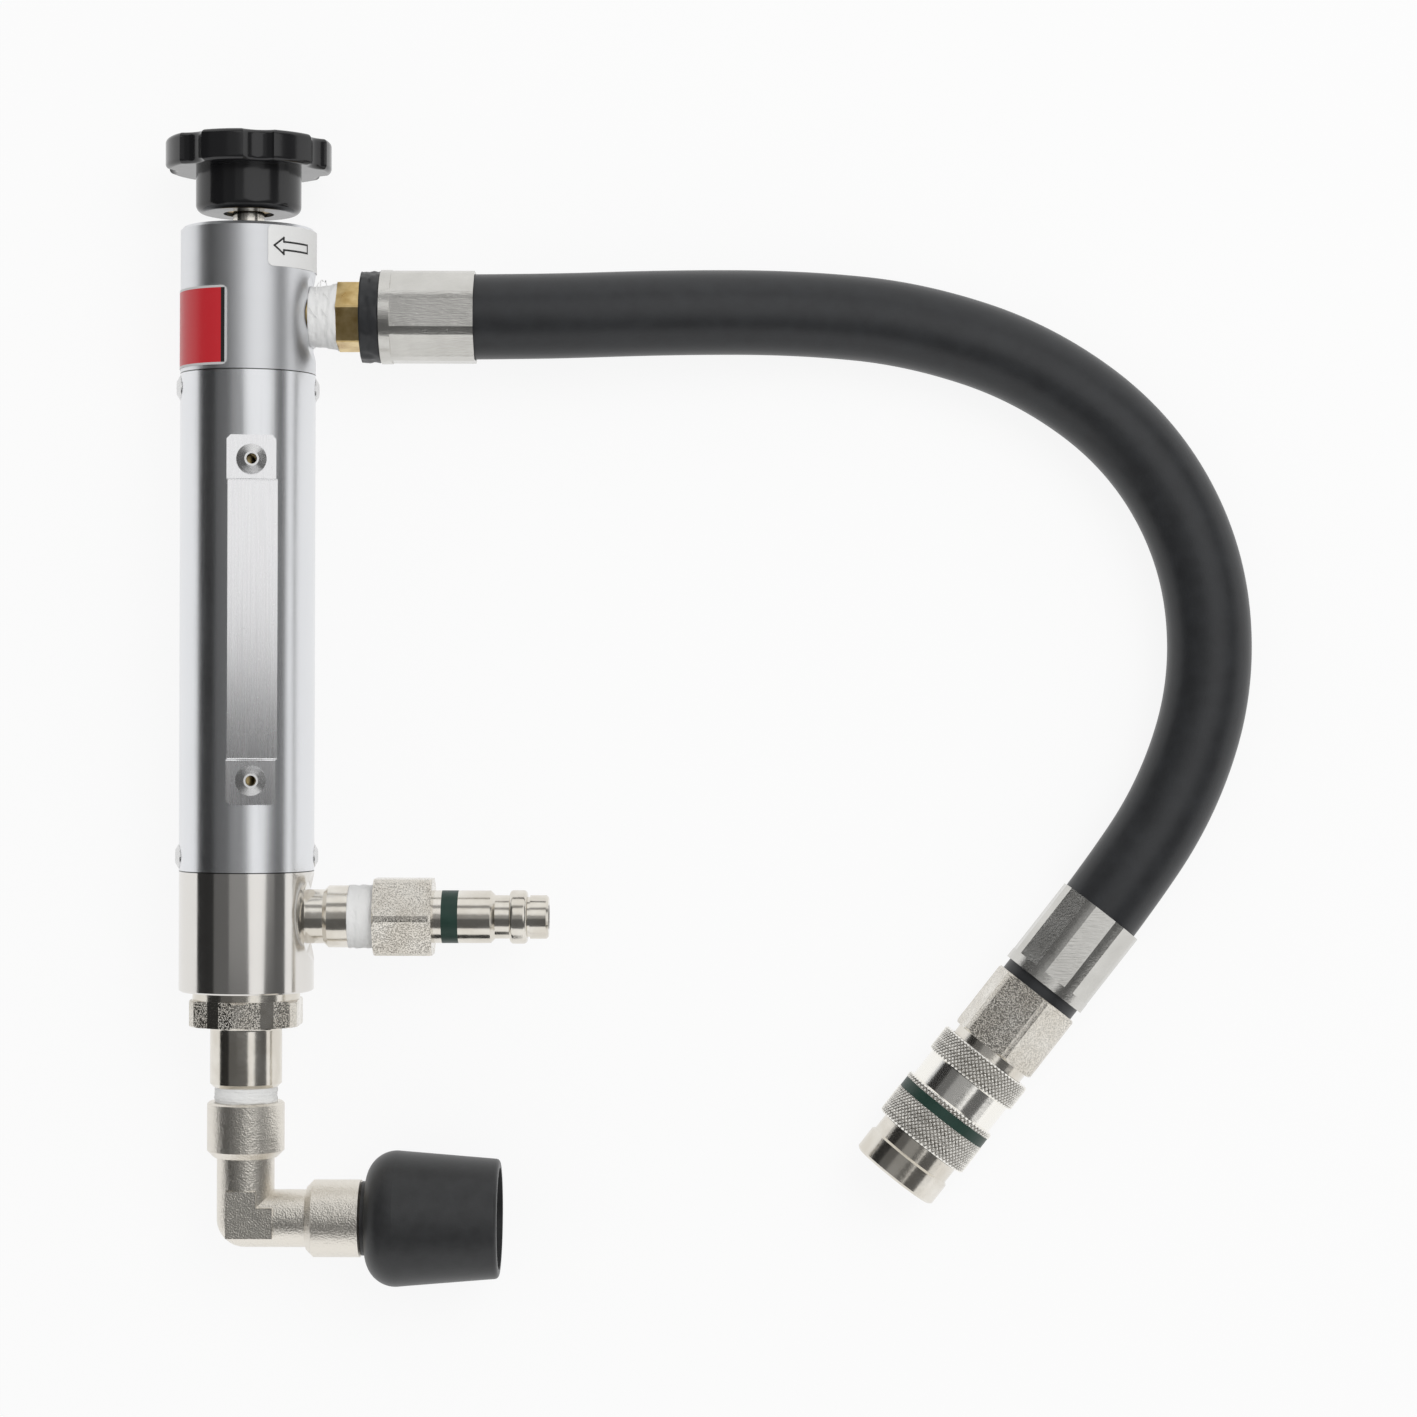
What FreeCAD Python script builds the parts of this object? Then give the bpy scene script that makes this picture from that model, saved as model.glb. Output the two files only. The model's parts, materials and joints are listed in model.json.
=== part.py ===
import FreeCAD, Part
import Sketcher
import math
import os
import re

# A vortex tube with two end bodies, a control valve, a supply plug, a cold exhaust and a hose
# that ends in a quick coupling. Lengths are millimetres and angles are degrees.
# The tube frame has its origin on the elbow's axis, +Y along the tube towards the knob,
# +X towards the two ports and +Z away from the surface that the tool lies on.
# Turned pieces are drawn as half sections of (radius, station) and revolved.

SIZES = {
    # Clearances between pieces that screw, slide or lie together
    "screw_gap": 0.1,
    "slide_gap": 0.2,
    "skin_gap": 0.02,
    "spring_gap": 0.1,
    # Tube: the two end bodies and the outer sleeve have one outer diameter
    "tube_d": 30.0,
    "sleeve_wall": 1.5,
    "sleeve_bore": "=tube_d - 2 * sleeve_wall",
    "sleeve_length": 111.0,
    "upper_length": 32.4,
    "lower_length": 26.7,
    "spigot_length": 7.0,
    "edge_break": 0.7,
    # Hot tube inside the sleeve
    "hot_tube_d": 12.0,
    "hot_tube_bore": 9.0,
    "tube_ring_inset": 4.0,
    # Upper body: warm air chamber, outlet port and gland hole
    "outlet_height": 12.9,
    "hot_chamber_d": 16.0,
    "hot_chamber_below": 7.0,
    "hot_chamber_above": 10.5,
    "outlet_port_d": 13.2,
    "outlet_spot_depth": 1.1,
    "outlet_spot_d": 18.4,
    "spot_flare": 1.7,
    "gland_d": 14.0,
    # Lower body: supply chamber and inlet port
    "inlet_height": 16.6,
    "chamber_d": 20.2,
    "inlet_port_d": 9.8,
    "inlet_spot_depth": 1.4,
    "inlet_spot_d": 17.2,
    # Vortex generator
    "generator_length": 14.0,
    "generator_flange": 3.0,
    "generator_barrel_d": 15.0,
    "generator_seat": 2.0,
    "orifice_d": 5.0,
    "nozzle_width": 1.2,
    "nozzle_height": 2.4,
    "nozzle_inset": 1.0,
    "nozzle_count": 6,
    # O-rings
    "ring_wire": 1.4,
    "groove_width": 1.9,
    # Cold end cap with its hexagon
    "cap_thread_length": 8.0,
    "cold_bore": 8.0,
    "cap_groove_length": 1.8,
    "cap_groove_d": 23.9,
    "cold_hex_length": 5.9,
    "cold_hex_across": 24.0,
    "cold_hex_bar_d": 26.3,
    "cold_neck_length": 13.7,
    "cold_neck_d": 16.0,
    "neck_fillet": 0.9,
    "neck_chamfer": 0.8,
    "cold_tape_length": 3.4,
    "cold_tape_d": 14.1,
    # Elbow and its two threaded sockets
    "elbow_reach": 26.1,
    "elbow_arm_d": 12.8,
    "elbow_socket_d": 17.2,
    "elbow_socket_length": 12.3,
    "elbow_socket_slope": 1.5,
    "elbow_socket_edge": 0.4,
    "elbow_thread_d": 12.6,
    "elbow_thread_depth": 12.0,
    "elbow_passage_d": 9.0,
    "elbow_pad_low": 3.7,
    "elbow_pad_width": 6.8,
    "elbow_pad_length": 10.4,
    "elbow_pad_depth": 6.62,
    # Silencer and the rubber shroud over it
    "silencer_d": 15.2,
    "silencer_length": 18.0,
    "silencer_bore": 7.0,
    "silencer_edge": 1.5,
    "shroud_length": 30.6,
    "shroud_neck_d": 16.5,
    "shroud_neck_length": 0.8,
    "shroud_d": 30.2,
    "shroud_mouth_d": 26.5,
    "shroud_bore": 22.6,
    "shroud_grip": 9.6,
    "shroud_edge": 1.0,
    # Control valve: spindle, gland and knob
    "gland_ring_inset": 3.0,
    "spindle_d": 7.0,
    "spindle_end_d": 6.0,
    "needle_tip_d": 3.0,
    "needle_length": 5.6,
    "needle_over": 1.3,
    "needle_collar": 1.5,
    "valve_lift": 1.7,
    "knob_gap": 3.4,
    "hub_d": 23.4,
    "hub_length": 9.4,
    "hub_fillet": 1.8,
    "head_d": 36.8,
    "head_thickness": 6.9,
    "head_fillet": 1.1,
    "recess_d": 11.2,
    "recess_depth": 0.6,
    "insert_d": 9.9,
    "insert_length": 11.4,
    "flute_depth": 1.6,
    "flute_radius": 5.0,
    "flute_count": 7,
    "flute_turn": 14.5,
    # Screws that hold the sleeve on the bodies
    "screw_turn": 100.5,
    "screw_inset": 3.35,
    "screw_d": 2.9,
    "screw_reach": 9.6,
    "tap_over": 0.3,
    "screw_head_d": 5.8,
    "screw_head_height": 1.2,
    "screw_crown": 0.35,
    "screw_spot_depth": 0.4,
    # Belt clip and its two blind rivets
    "clip_turn": 10.5,
    "clip_start": 15.2,
    "clip_length": 81.1,
    "clip_width": 10.8,
    "clip_sheet": 0.9,
    "clip_pad_length": 10.9,
    "clip_rise": 6.0,
    "clip_bow": 0.5,
    "clip_bend": 0.5,
    "clip_corner": 0.9,
    "rivet_inset": 5.3,
    "rivet_d": 3.2,
    "rivet_head_d": 6.6,
    "rivet_head_height": 1.1,
    "rivet_hole_d": 2.3,
    "rivet_bulb_d": 4.8,
    "rivet_bulb_length": 3.0,
    # Labels on the upper body: angles run from +Z round towards +X
    "label_sheet": 0.15,
    "arrow_label_low": 22.6,
    "arrow_label_height": 9.05,
    "arrow_label_turn": 24.0,
    "arrow_label_sweep": 96.0,
    "red_label_low": 0.8,
    "red_label_height": 17.4,
    "red_label_turn": 230.0,
    "red_label_sweep": 119.7,
    "label_corner": 1.2,
    # Inlet adapter and supply plug
    "adapter_thread_length": 3.2,
    "adapter_neck_d": 12.1,
    "adapter_neck_length": 3.9,
    "adapter_cone_length": 1.0,
    "adapter_d": 13.9,
    "adapter_length": 4.5,
    "adapter_bore": 6.0,
    "adapter_end_gap": 1.0,
    "inlet_tape_length": 5.7,
    "inlet_tape_d": 14.2,
    "tape_core_d": 12.3,
    "plug_hex_across": 17.0,
    "plug_hex_bar_d": 18.9,
    "plug_hex_length": 13.1,
    "plug_hex_turn": 30.0,
    "plug_socket_depth": 10.0,
    "plug_bore": 5.6,
    "plug_d": 11.8,
    "plug_neck_length": 2.0,
    "band_length": 3.7,
    "band_wall": 0.6,
    "plug_land_length": 7.2,
    "plug_cone_length": 1.0,
    "plug_waist_d": 9.75,
    "plug_waist_length": 3.2,
    "plug_collar_d": 12.0,
    "plug_collar_length": 4.0,
    "plug_collar_round": 0.9,
    "plug_tip_d": 9.8,
    "plug_tip_length": 4.7,
    "plug_groove_length": 0.6,
    "plug_groove_d": 9.0,
    "plug_tip_edge": 0.5,
    # Hose tail at the outlet
    "tail_thread_length": 5.0,
    "outlet_tape_length": 6.3,
    "outlet_tape_d": 13.5,
    "tail_hex_across": 14.0,
    "tail_hex_bar_d": 15.9,
    "tail_hex_length": 5.1,
    "tail_hex_turn": 19.0,
    "hose_clearance": 0.2,
    # Barbs, hose and ferrules
    "barb_start": 2.0,
    "barb_pitch": 4.0,
    "barb_land": 0.4,
    "barb_count": 5,
    "barb_d": 10.4,
    "barb_root_d": 9.2,
    "barb_bore": 7.0,
    "hose_d": 19.0,
    "hose_bore_slack": 0.2,
    "ferrule_slack": 0.12,
    "ferrule_length": 20.9,
    "ferrule_inner_d": 21.0,
    "ferrule_outer_d": 20.8,
    "ferrule_inner_start": 4.4,
    "ferrule_outer_start": 2.5,
    "crimp_count": 8,
    "crimp_across": 20.06,
    "crimp_lip": 2.4,
    # Quick coupling: stations run from its mouth towards the hose
    "coupling_x": 145.3,
    "coupling_y": 9.0,
    "coupling_turn": 52.1,
    "coupling_height": 11.7,
    "nose_length": 6.0,
    "nose_d": 21.0,
    "nose_neck_d": 19.8,
    "nose_edge": 0.5,
    "sleeve_start": 9.9,
    "mouth_d": 12.6,
    "entry_length": 11.2,
    "seat_d": 12.2,
    "mouth_depth": 17.8,
    "tip_bore": 10.1,
    "barrel_d": 15.8,
    "barrel_end": 34.0,
    "coupling_thread_d": 15.2,
    "coupling_thread_length": 8.0,
    "poppet_seat": 21.3,
    "poppet_chamber_d": 11.7,
    "seal_start": 18.3,
    "ball_d": 2.5,
    "ball_count": 6,
    "ball_station": 12.7,
    "ball_orbit": 6.7,
    # Sliding sleeve of the coupling
    "lower_knurl_d": 23.2,
    "lower_knurl_length": 11.0,
    "band_start": 7.2,
    "sleeve_band_length": 2.5,
    "sleeve_band_depth": 0.2,
    "sleeve_neck_d": 21.2,
    "sleeve_neck_length": 6.9,
    "upper_knurl_d": 22.9,
    "upper_knurl_length": 6.2,
    "knurl_edge": 0.5,
    "release_length": 2.3,
    "release_d": 17.8,
    "land_length": 11.3,
    # Poppet and springs of the coupling
    "poppet_nose_d": 8.8,
    "poppet_nose_length": 2.1,
    "poppet_head": 2.0,
    "poppet_length": 10.0,
    "poppet_wall": 0.9,
    "poppet_port_d": 2.4,
    "poppet_port_inset": 2.0,
    "poppet_port_count": 4,
    "sleeve_wire": 0.8,
    "sleeve_spring_turns": 3,
    "poppet_wire": 0.7,
    "poppet_spring_d": 8.4,
    "poppet_spring_turns": 5,
    # Hexagon and collar behind the coupling
    "collar_d": 18.5,
    "collar_length": 2.1,
    "coupling_hex_across": 19.0,
    "coupling_hex_bar_d": 21.2,
    "coupling_hex_length": 16.2,
    "coupling_hex_turn": 8.4,
}

# How far a cut runs past the surface that it opens, and how near counts as the same place
CUT_OVER = 1
CLOSE = 0.005
# Angles round the tube run from +Z towards +X, where the ports are
PORT_TURN = "90"
HEXAGON = "6"

doc = FreeCAD.newDocument("vortex_air_warmer")
sheet = doc.addObject("Spreadsheet::Sheet", "Sizes")
for row, (alias, number) in enumerate(SIZES.items(), start=1):
    sheet.set(f"A{row}", alias)
    sheet.set(f"B{row}", str(number))
    sheet.setAlias(f"B{row}", alias)
doc.recompute()


def bound(text):
    """Writes a size expression with each alias as a reference to its cell."""
    def to_cell(match):
        return "Sizes." + match[0] if match[0] in SIZES else match[0]
    return re.sub(r"[a-z][a-z_0-9]*", to_cell, f"0 + {text}")


def value(text):
    """The number that a size expression gives now."""
    return float(sheet.evalExpression(bound(text)))


# Placements in the tube frame

def along_tube(turn=PORT_TURN):
    """Local Z runs up the tube and local X points out at the turn angle."""
    angle = math.radians(value(turn))
    radial = FreeCAD.Vector(math.sin(angle), 0, math.cos(angle))
    upward = FreeCAD.Vector(0, 1, 0)
    rotation = FreeCAD.Rotation(radial, upward.cross(radial), upward, "ZXY")
    return FreeCAD.Placement(FreeCAD.Vector(), rotation)


def outward(station, turn=PORT_TURN):
    """Local Z points out from the tube at a station along it."""
    angle = math.radians(value(turn))
    radial = FreeCAD.Vector(math.sin(angle), 0, math.cos(angle))
    upward = FreeCAD.Vector(0, 1, 0)
    rotation = FreeCAD.Rotation(upward.cross(radial), upward, radial, "ZXY")
    return FreeCAD.Placement(FreeCAD.Vector(0, value(station), 0), rotation)


def along_coupling():
    """Local Z runs from the coupling's mouth towards the hose, and local Y points up."""
    angle = math.radians(value("coupling_turn"))
    axis = FreeCAD.Vector(math.cos(angle), math.sin(angle), 0)
    upward = FreeCAD.Vector(0, 0, 1)
    rotation = FreeCAD.Rotation(upward.cross(axis), upward, axis, "ZXY")
    mouth = FreeCAD.Vector(
        value("coupling_x"), value("coupling_y"), value("coupling_height - head_d / 2"))
    return FreeCAD.Placement(mouth, rotation)


# Sketches and features

ON_V_AXIS, ON_H_AXIS, ORIGIN = -2, -1, (-1, 1)


def plane_of(body, role):
    return next(item for item in body.Origin.OriginFeatures if item.Role == role)


def new_sketch(body, name, role, lift, turn):
    """An empty sketch on one of the body's planes, lifted off it and turned on the body's Z."""
    sketch = body.newObject("Sketcher::SketchObject", name)
    sketch.AttachmentSupport = [(plane_of(body, role), "")]
    sketch.MapMode = "FlatFace"
    axis = FreeCAD.Vector(0, 1, 0) if role == "XZ_Plane" else FreeCAD.Vector(0, 0, 1)
    sketch.AttachmentOffset = FreeCAD.Placement(
        FreeCAD.Vector(), FreeCAD.Rotation(axis, value(turn)))
    if lift != "0":
        sketch.setExpression("AttachmentOffset.Base.z", bound(lift))
    return sketch


def draw_circle(body, name, centre, radius, lift, turn):
    """A circle whose middle lies on the sketch's own horizontal axis."""
    sketch = new_sketch(body, name, "XY_Plane", lift, turn)
    middle = FreeCAD.Vector(value(centre), 0, 0)
    sketch.addGeometry(Part.Circle(middle, FreeCAD.Vector(0, 0, 1), value(radius)), False)
    sketch.addConstraint([
        Sketcher.Constraint("PointOnObject", 0, 3, ON_H_AXIS),
        Sketcher.Constraint("DistanceX", *ORIGIN, 0, 3, value(centre)),
        Sketcher.Constraint("Radius", 0, value(radius)),
    ])
    sketch.setExpression("Constraints[1]", bound(centre))
    sketch.setExpression("Constraints[2]", bound(radius))
    return sketch


def draw(body, name, outline, role="XZ_Plane", lift="0", turn="0", spin_line=None):
    """A closed outline with every corner fixed by sizes.

    A corner is (across, along) or (across, along, radius, side), where the radius makes
    the edge that leaves the corner an arc: side +1 is an arc that turns left, -1 right.
    spin_line is the height of a construction line that a groove turns round.
    """
    sketch = new_sketch(body, name, role, lift, turn)
    corners = [FreeCAD.Vector(value(c[0]), value(c[1]), 0) for c in outline]
    edges, rules, formulas = [], [], []
    for index, corner in enumerate(outline):
        start, end = corners[index], corners[(index + 1) % len(corners)]
        if len(corner) == 4:
            edges.append(arc_edge(start, end, value(corner[2]), corner[3]))
        else:
            edges.append(Part.LineSegment(start, end))
    sketch.addGeometry(edges, False)

    def ends(index):
        """Which ends of the edge at index are its start and its finish."""
        corner = outline[index]
        turned_right = len(corner) == 4 and corner[3] < 0
        return (2, 1) if turned_right else (1, 2)

    for index, corner in enumerate(outline):
        following = (index + 1) % len(outline)
        rules.append(Sketcher.Constraint(
            "Coincident", index, ends(index)[1], following, ends(following)[0]))
    for index, corner in enumerate(outline):
        first = ends(index)[0]
        for kind, text, axis in (("DistanceX", corner[0], ON_V_AXIS),
                                 ("DistanceY", corner[1], ON_H_AXIS)):
            if text == "0":
                rules.append(Sketcher.Constraint("PointOnObject", index, first, axis))
            else:
                rules.append(Sketcher.Constraint(kind, *ORIGIN, index, first, value(text)))
                formulas.append((len(rules) - 1, text))
        if len(corner) == 4:
            rules.append(Sketcher.Constraint("Radius", index, value(corner[2])))
            formulas.append((len(rules) - 1, corner[2]))
    if spin_line is not None:
        height = value(spin_line)
        reach = max(corner.x for corner in corners) + CUT_OVER
        line = Part.LineSegment(FreeCAD.Vector(0, height, 0), FreeCAD.Vector(reach, height, 0))
        sketch.addGeometry(line, True)
        number = len(edges)
        rules.append(Sketcher.Constraint("Horizontal", number))
        rules.append(Sketcher.Constraint("PointOnObject", number, 1, ON_V_AXIS))
        if spin_line == "0":
            rules.append(Sketcher.Constraint("PointOnObject", number, 2, ON_H_AXIS))
        else:
            rules.append(Sketcher.Constraint("DistanceY", *ORIGIN, number, 1, height))
            formulas.append((len(rules) - 1, spin_line))
    sketch.addConstraint(rules)
    for number, text in formulas:
        sketch.setExpression(f"Constraints[{number}]", bound(text))
    return sketch


def arc_edge(start, end, radius, side):
    """The shorter arc of that radius from start to end, turning left or right."""
    chord = end - start
    half = chord.Length / 2
    depth = math.sqrt(max(radius ** 2 - half ** 2, 0))
    left = FreeCAD.Vector(-chord.y, chord.x, 0).normalize()
    centre = (start + end) / 2 + left * (depth * side)
    first, last = (start, end) if side > 0 else (end, start)
    circle = Part.Circle(centre, FreeCAD.Vector(0, 0, 1), radius)
    return Part.ArcOfCircle(
        circle,
        math.atan2(first.y - centre.y, first.x - centre.x),
        math.atan2(last.y - centre.y, last.x - centre.x))


def check(feature):
    """Recomputes, and stops at a feature that failed or left its body as it was."""
    doc.recompute()
    if "Invalid" in feature.State or "Error" in feature.State:
        raise RuntimeError(f"{feature.Name} failed: {feature.State}")


def turned(label, outline, placement):
    """A body with one half section revolved round its own Z."""
    body = doc.addObject("PartDesign::Body", label)
    body.Label = label
    sketch = draw(body, label + "_section", outline)
    revolution = body.newObject("PartDesign::Revolution", label + "_turned")
    revolution.Profile = sketch
    revolution.ReferenceAxis = (sketch, ["V_Axis"])
    revolution.Angle = 360
    revolution.Midplane = False
    check(revolution)
    body.Placement = placement
    return body


def must_cut(body, feature, before):
    """A cut that takes nothing away is a mistake in its place or direction."""
    check(feature)
    if not body.Shape.Volume < before - 1e-6:
        raise RuntimeError(f"{feature.Name} takes nothing from {body.Label}")


def repeat(body, feature, count):
    """Copies a feature evenly round the body's own Z."""
    name = feature.Name
    pattern = body.newObject("PartDesign::PolarPattern", name + "_ring")
    pattern.Originals = [feature]
    pattern.Axis = (plane_of(body, "Z_Axis"), [""])
    pattern.Angle = 360
    pattern.setExpression("Occurrences", bound(count))
    body.Tip = pattern
    check(pattern)


def drilled(body, name, outline, station, turn="0", count=None):
    """Turns an outline of (distance from the tube's axis, height) round a side hole's axis."""
    before = body.Shape.Volume
    sketch = draw(body, name + "_section", outline, turn=turn, spin_line=station)
    groove = body.newObject("PartDesign::Groove", name)
    groove.Profile = sketch
    groove.ReferenceAxis = (sketch, ["Axis0"])
    groove.Angle = 360
    must_cut(body, groove, before)
    if count:
        repeat(body, groove, count)


def side_hole(body, name, station, radius, near, far, turn="0", count=None):
    """A plain round hole from near to far along a line out from the tube's axis."""
    top = f"{station} + {radius}"
    outline = [(near, station), (far, station), (far, top), (near, top)]
    drilled(body, name, outline, station, turn, count)


def milled(body, name, across, bar, low, high, count, turn="0"):
    """Flats cut across a round bar between two stations."""
    before = body.Shape.Volume
    near, far = f"{across} / 2", f"{bar} / 2 + {CUT_OVER}"
    left, right = f"-{bar} / 2", f"{bar} / 2"
    outline = [(near, left), (far, left), (far, right), (near, right)]
    sketch = draw(body, name + "_flat", outline, role="XY_Plane", lift=low, turn=turn)
    pocket = body.newObject("PartDesign::Pocket", name)
    pocket.Profile = sketch
    pocket.Type = 0
    pocket.Reversed = True
    pocket.setExpression("Length", bound(f"{high} - ({low})"))
    must_cut(body, pocket, before)
    repeat(body, pocket, count)


def rings_at(body, places):
    """The names of the round edges at each (radius, station)."""
    wanted = [(value(radius), value(station)) for radius, station in places]
    feature = body.Tip
    names = []
    for number, edge in enumerate(feature.Shape.Edges, start=1):
        if not isinstance(edge.Curve, Part.Circle):
            continue
        centre = edge.Curve.Center
        if math.hypot(centre.x, centre.y) > CLOSE:
            continue
        for radius, station in wanted:
            if abs(edge.Curve.Radius - radius) < CLOSE and abs(centre.z - station) < CLOSE:
                names.append(f"Edge{number}")
    if not names:
        raise RuntimeError(f"{body.Label} has no edge at {wanted}")
    return names


def softened(body, kind, name, size, names):
    """A fillet or a chamfer of one size on the named edges."""
    base = body.Tip
    feature = body.newObject("PartDesign::" + kind, name)
    feature.Base = (base, names)
    feature.setExpression("Radius" if kind == "Fillet" else "Size", bound(size))
    check(feature)


def rounded(body, name, size, places):
    softened(body, "Fillet", name, size, rings_at(body, places))


def chamfered(body, name, size, places):
    softened(body, "Chamfer", name, size, rings_at(body, places))


def o_ring(label, inner, station, placement):
    """A rubber ring whose inside just meets the given radius."""
    ring = doc.addObject("Part::Torus", label)
    ring.Label = label
    ring.setExpression("Radius2", bound("ring_wire / 2"))
    ring.setExpression("Radius1", bound(f"{inner} + ring_wire / 2"))
    ring.Placement = placement.multiply(
        FreeCAD.Placement(FreeCAD.Vector(0, 0, value(station)), FreeCAD.Rotation()))
    return ring


def grouped(label, members):
    group = doc.addObject("Part::Compound", label)
    group.Label = label
    group.Links = members
    return group


def spring(label, wire, diameter, low, high, turns, placement):
    """An open coil with its wire's centre between two stations."""
    rise = f"{high} - ({low}) - {wire}"
    coil = doc.addObject("Part::Helix", label + "_line")
    coil.setExpression("Radius", bound(f"{diameter} / 2"))
    coil.setExpression("Height", bound(rise))
    coil.setExpression("Pitch", bound(f"({rise}) / {turns}"))
    coil.SegmentLength = 1
    section = doc.addObject("Part::Circle", label + "_wire")
    section.setExpression("Radius", bound(f"{wire} / 2"))
    section.Placement = FreeCAD.Placement(
        FreeCAD.Vector(value(f"{diameter} / 2"), 0, 0),
        FreeCAD.Rotation(FreeCAD.Vector(1, 0, 0), 90))
    section.setExpression("Placement.Base.x", bound(f"{diameter} / 2"))
    doc.recompute()
    swept = doc.addObject("Part::Sweep", label)
    swept.Label = label
    swept.Sections = [section]
    swept.Spine = (coil, [f"Edge{n + 1}" for n in range(len(coil.Shape.Edges))])
    swept.Solid = True
    swept.Frenet = True
    swept.Placement = placement.multiply(FreeCAD.Placement(
        FreeCAD.Vector(0, 0, value(f"{low} + {wire} / 2")), FreeCAD.Rotation()))
    return swept


# Stations along the tube, from the elbow's axis up to the knob's face

cold_tape_top = "elbow_reach + cold_tape_length"
cold_hex_low = f"{cold_tape_top} + cold_neck_length"
cold_hex_high = f"{cold_hex_low} + cold_hex_length"
lower_low = f"{cold_hex_high} + cap_groove_length"
lower_high = f"{lower_low} + lower_length"
upper_low = f"{lower_high} + sleeve_length"
upper_high = f"{upper_low} + upper_length"
hub_low = f"{upper_high} + knob_gap"
head_low = f"{hub_low} + hub_length"
head_high = f"{head_low} + head_thickness"
inlet_station = f"{lower_low} + inlet_height"
outlet_station = f"{upper_low} + outlet_height"
generator_low = f"{lower_low} + cap_thread_length"
generator_high = f"{generator_low} + generator_length"
hot_chamber_low = f"{outlet_station} - hot_chamber_below"
hot_chamber_high = f"{outlet_station} + hot_chamber_above"
screw_low = f"{lower_high} + screw_inset"
screw_high = f"{upper_low} - screw_inset"
tube = along_tube()

# Lower body: chromed bar with the supply chamber, the inlet port and a spigot for the sleeve
lower_ring = f"{generator_high} + tube_ring_inset"
lower_body = turned("lower_body", [
    ("chamber_d / 2", lower_low),
    ("tube_d / 2", lower_low),
    ("tube_d / 2", lower_high),
    ("sleeve_bore / 2 - screw_gap", lower_high),
    ("sleeve_bore / 2 - screw_gap", f"{lower_high} + spigot_length"),
    ("hot_tube_d / 2 + screw_gap", f"{lower_high} + spigot_length"),
    ("hot_tube_d / 2 + screw_gap", f"{lower_ring} + groove_width"),
    ("hot_tube_d / 2 + ring_wire + skin_gap", f"{lower_ring} + groove_width"),
    ("hot_tube_d / 2 + ring_wire + skin_gap", lower_ring),
    ("hot_tube_d / 2 + screw_gap", lower_ring),
    ("hot_tube_d / 2 + screw_gap", generator_high),
    ("chamber_d / 2", generator_high),
], tube)
chamfered(lower_body, "lower_body_edge", "edge_break / 2", [("tube_d / 2", lower_low)])


def port(body, name, station, spot_depth, spot_d, port_d, bore_from):
    """A spot face with a sloping rim, and the threaded hole in its middle."""
    plane = f"tube_d / 2 - {spot_depth}"
    drilled(body, name, [
        (bore_from, station),
        (f"{plane} + spot_flare", station),
        (f"{plane} + spot_flare", f"{station} + {spot_d} / 2 + spot_flare"),
        (plane, f"{station} + {spot_d} / 2"),
        (plane, f"{station} + {port_d} / 2"),
        (bore_from, f"{station} + {port_d} / 2"),
    ], station)


port(lower_body, "inlet_port", inlet_station, "inlet_spot_depth", "inlet_spot_d",
     "inlet_port_d", "generator_barrel_d / 2")

# Upper body: anodised bar with the warm air chamber, the outlet port and the gland hole
upper_body = turned("upper_body", [
    ("hot_tube_d / 2 + screw_gap", f"{upper_low} - spigot_length"),
    ("sleeve_bore / 2 - screw_gap", f"{upper_low} - spigot_length"),
    ("sleeve_bore / 2 - screw_gap", upper_low),
    ("tube_d / 2", upper_low),
    ("tube_d / 2", upper_high),
    ("gland_d / 2", upper_high),
    ("gland_d / 2", hot_chamber_high),
    ("hot_chamber_d / 2", hot_chamber_high),
    ("hot_chamber_d / 2", hot_chamber_low),
    ("hot_tube_d / 2 + screw_gap", hot_chamber_low),
], tube)
chamfered(upper_body, "upper_body_edge", "edge_break", [("tube_d / 2", upper_high)])
port(upper_body, "outlet_port", outlet_station, "outlet_spot_depth", "outlet_spot_d",
     "outlet_port_d", "hot_chamber_d / 4")

# Tapped holes for the sleeve screws, two in each spigot
for half_turn in (0, 180):
    turn = f"screw_turn - {PORT_TURN} + {half_turn}"
    for body, station in ((lower_body, screw_low), (upper_body, screw_high)):
        side_hole(body, f"tapped_{body.Label}_{half_turn}", station, "screw_d / 2 + screw_gap / 2",
                  "screw_reach - tap_over", "sleeve_bore / 2", turn)

# Outer sleeve: polished tube with spot-faced screw holes and two rivet holes
outer_sleeve = turned("outer_sleeve", [
    ("sleeve_bore / 2", lower_high),
    ("tube_d / 2", lower_high),
    ("tube_d / 2", upper_low),
    ("sleeve_bore / 2", upper_low),
], tube)
spot_plane = "tube_d / 2 - screw_spot_depth"
inside, outside = f"sleeve_bore / 2 - {CUT_OVER}", f"tube_d / 2 + {CUT_OVER}"
for half_turn in (0, 180):
    turn = f"screw_turn - {PORT_TURN} + {half_turn}"
    for place, station in (("low", screw_low), ("high", screw_high)):
        hole = f"{station} + screw_d / 2 + screw_gap"
        spot = f"{station} + screw_head_d / 2 + screw_gap"
        drilled(outer_sleeve, f"screw_hole_{place}_{half_turn}", [
            (inside, station),
            (outside, station),
            (outside, spot),
            (spot_plane, spot),
            (spot_plane, hole),
            (inside, hole),
        ], station, turn)
clip_low = f"{lower_high} + clip_start"
clip_high = f"{clip_low} + clip_length"
rivet_stations = {"low": f"{clip_low} + rivet_inset", "high": f"{clip_high} - rivet_inset"}
for place, station in rivet_stations.items():
    side_hole(outer_sleeve, f"rivet_hole_{place}", station, "rivet_d / 2 + screw_gap / 2",
              inside, outside, f"clip_turn - {PORT_TURN}")

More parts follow.
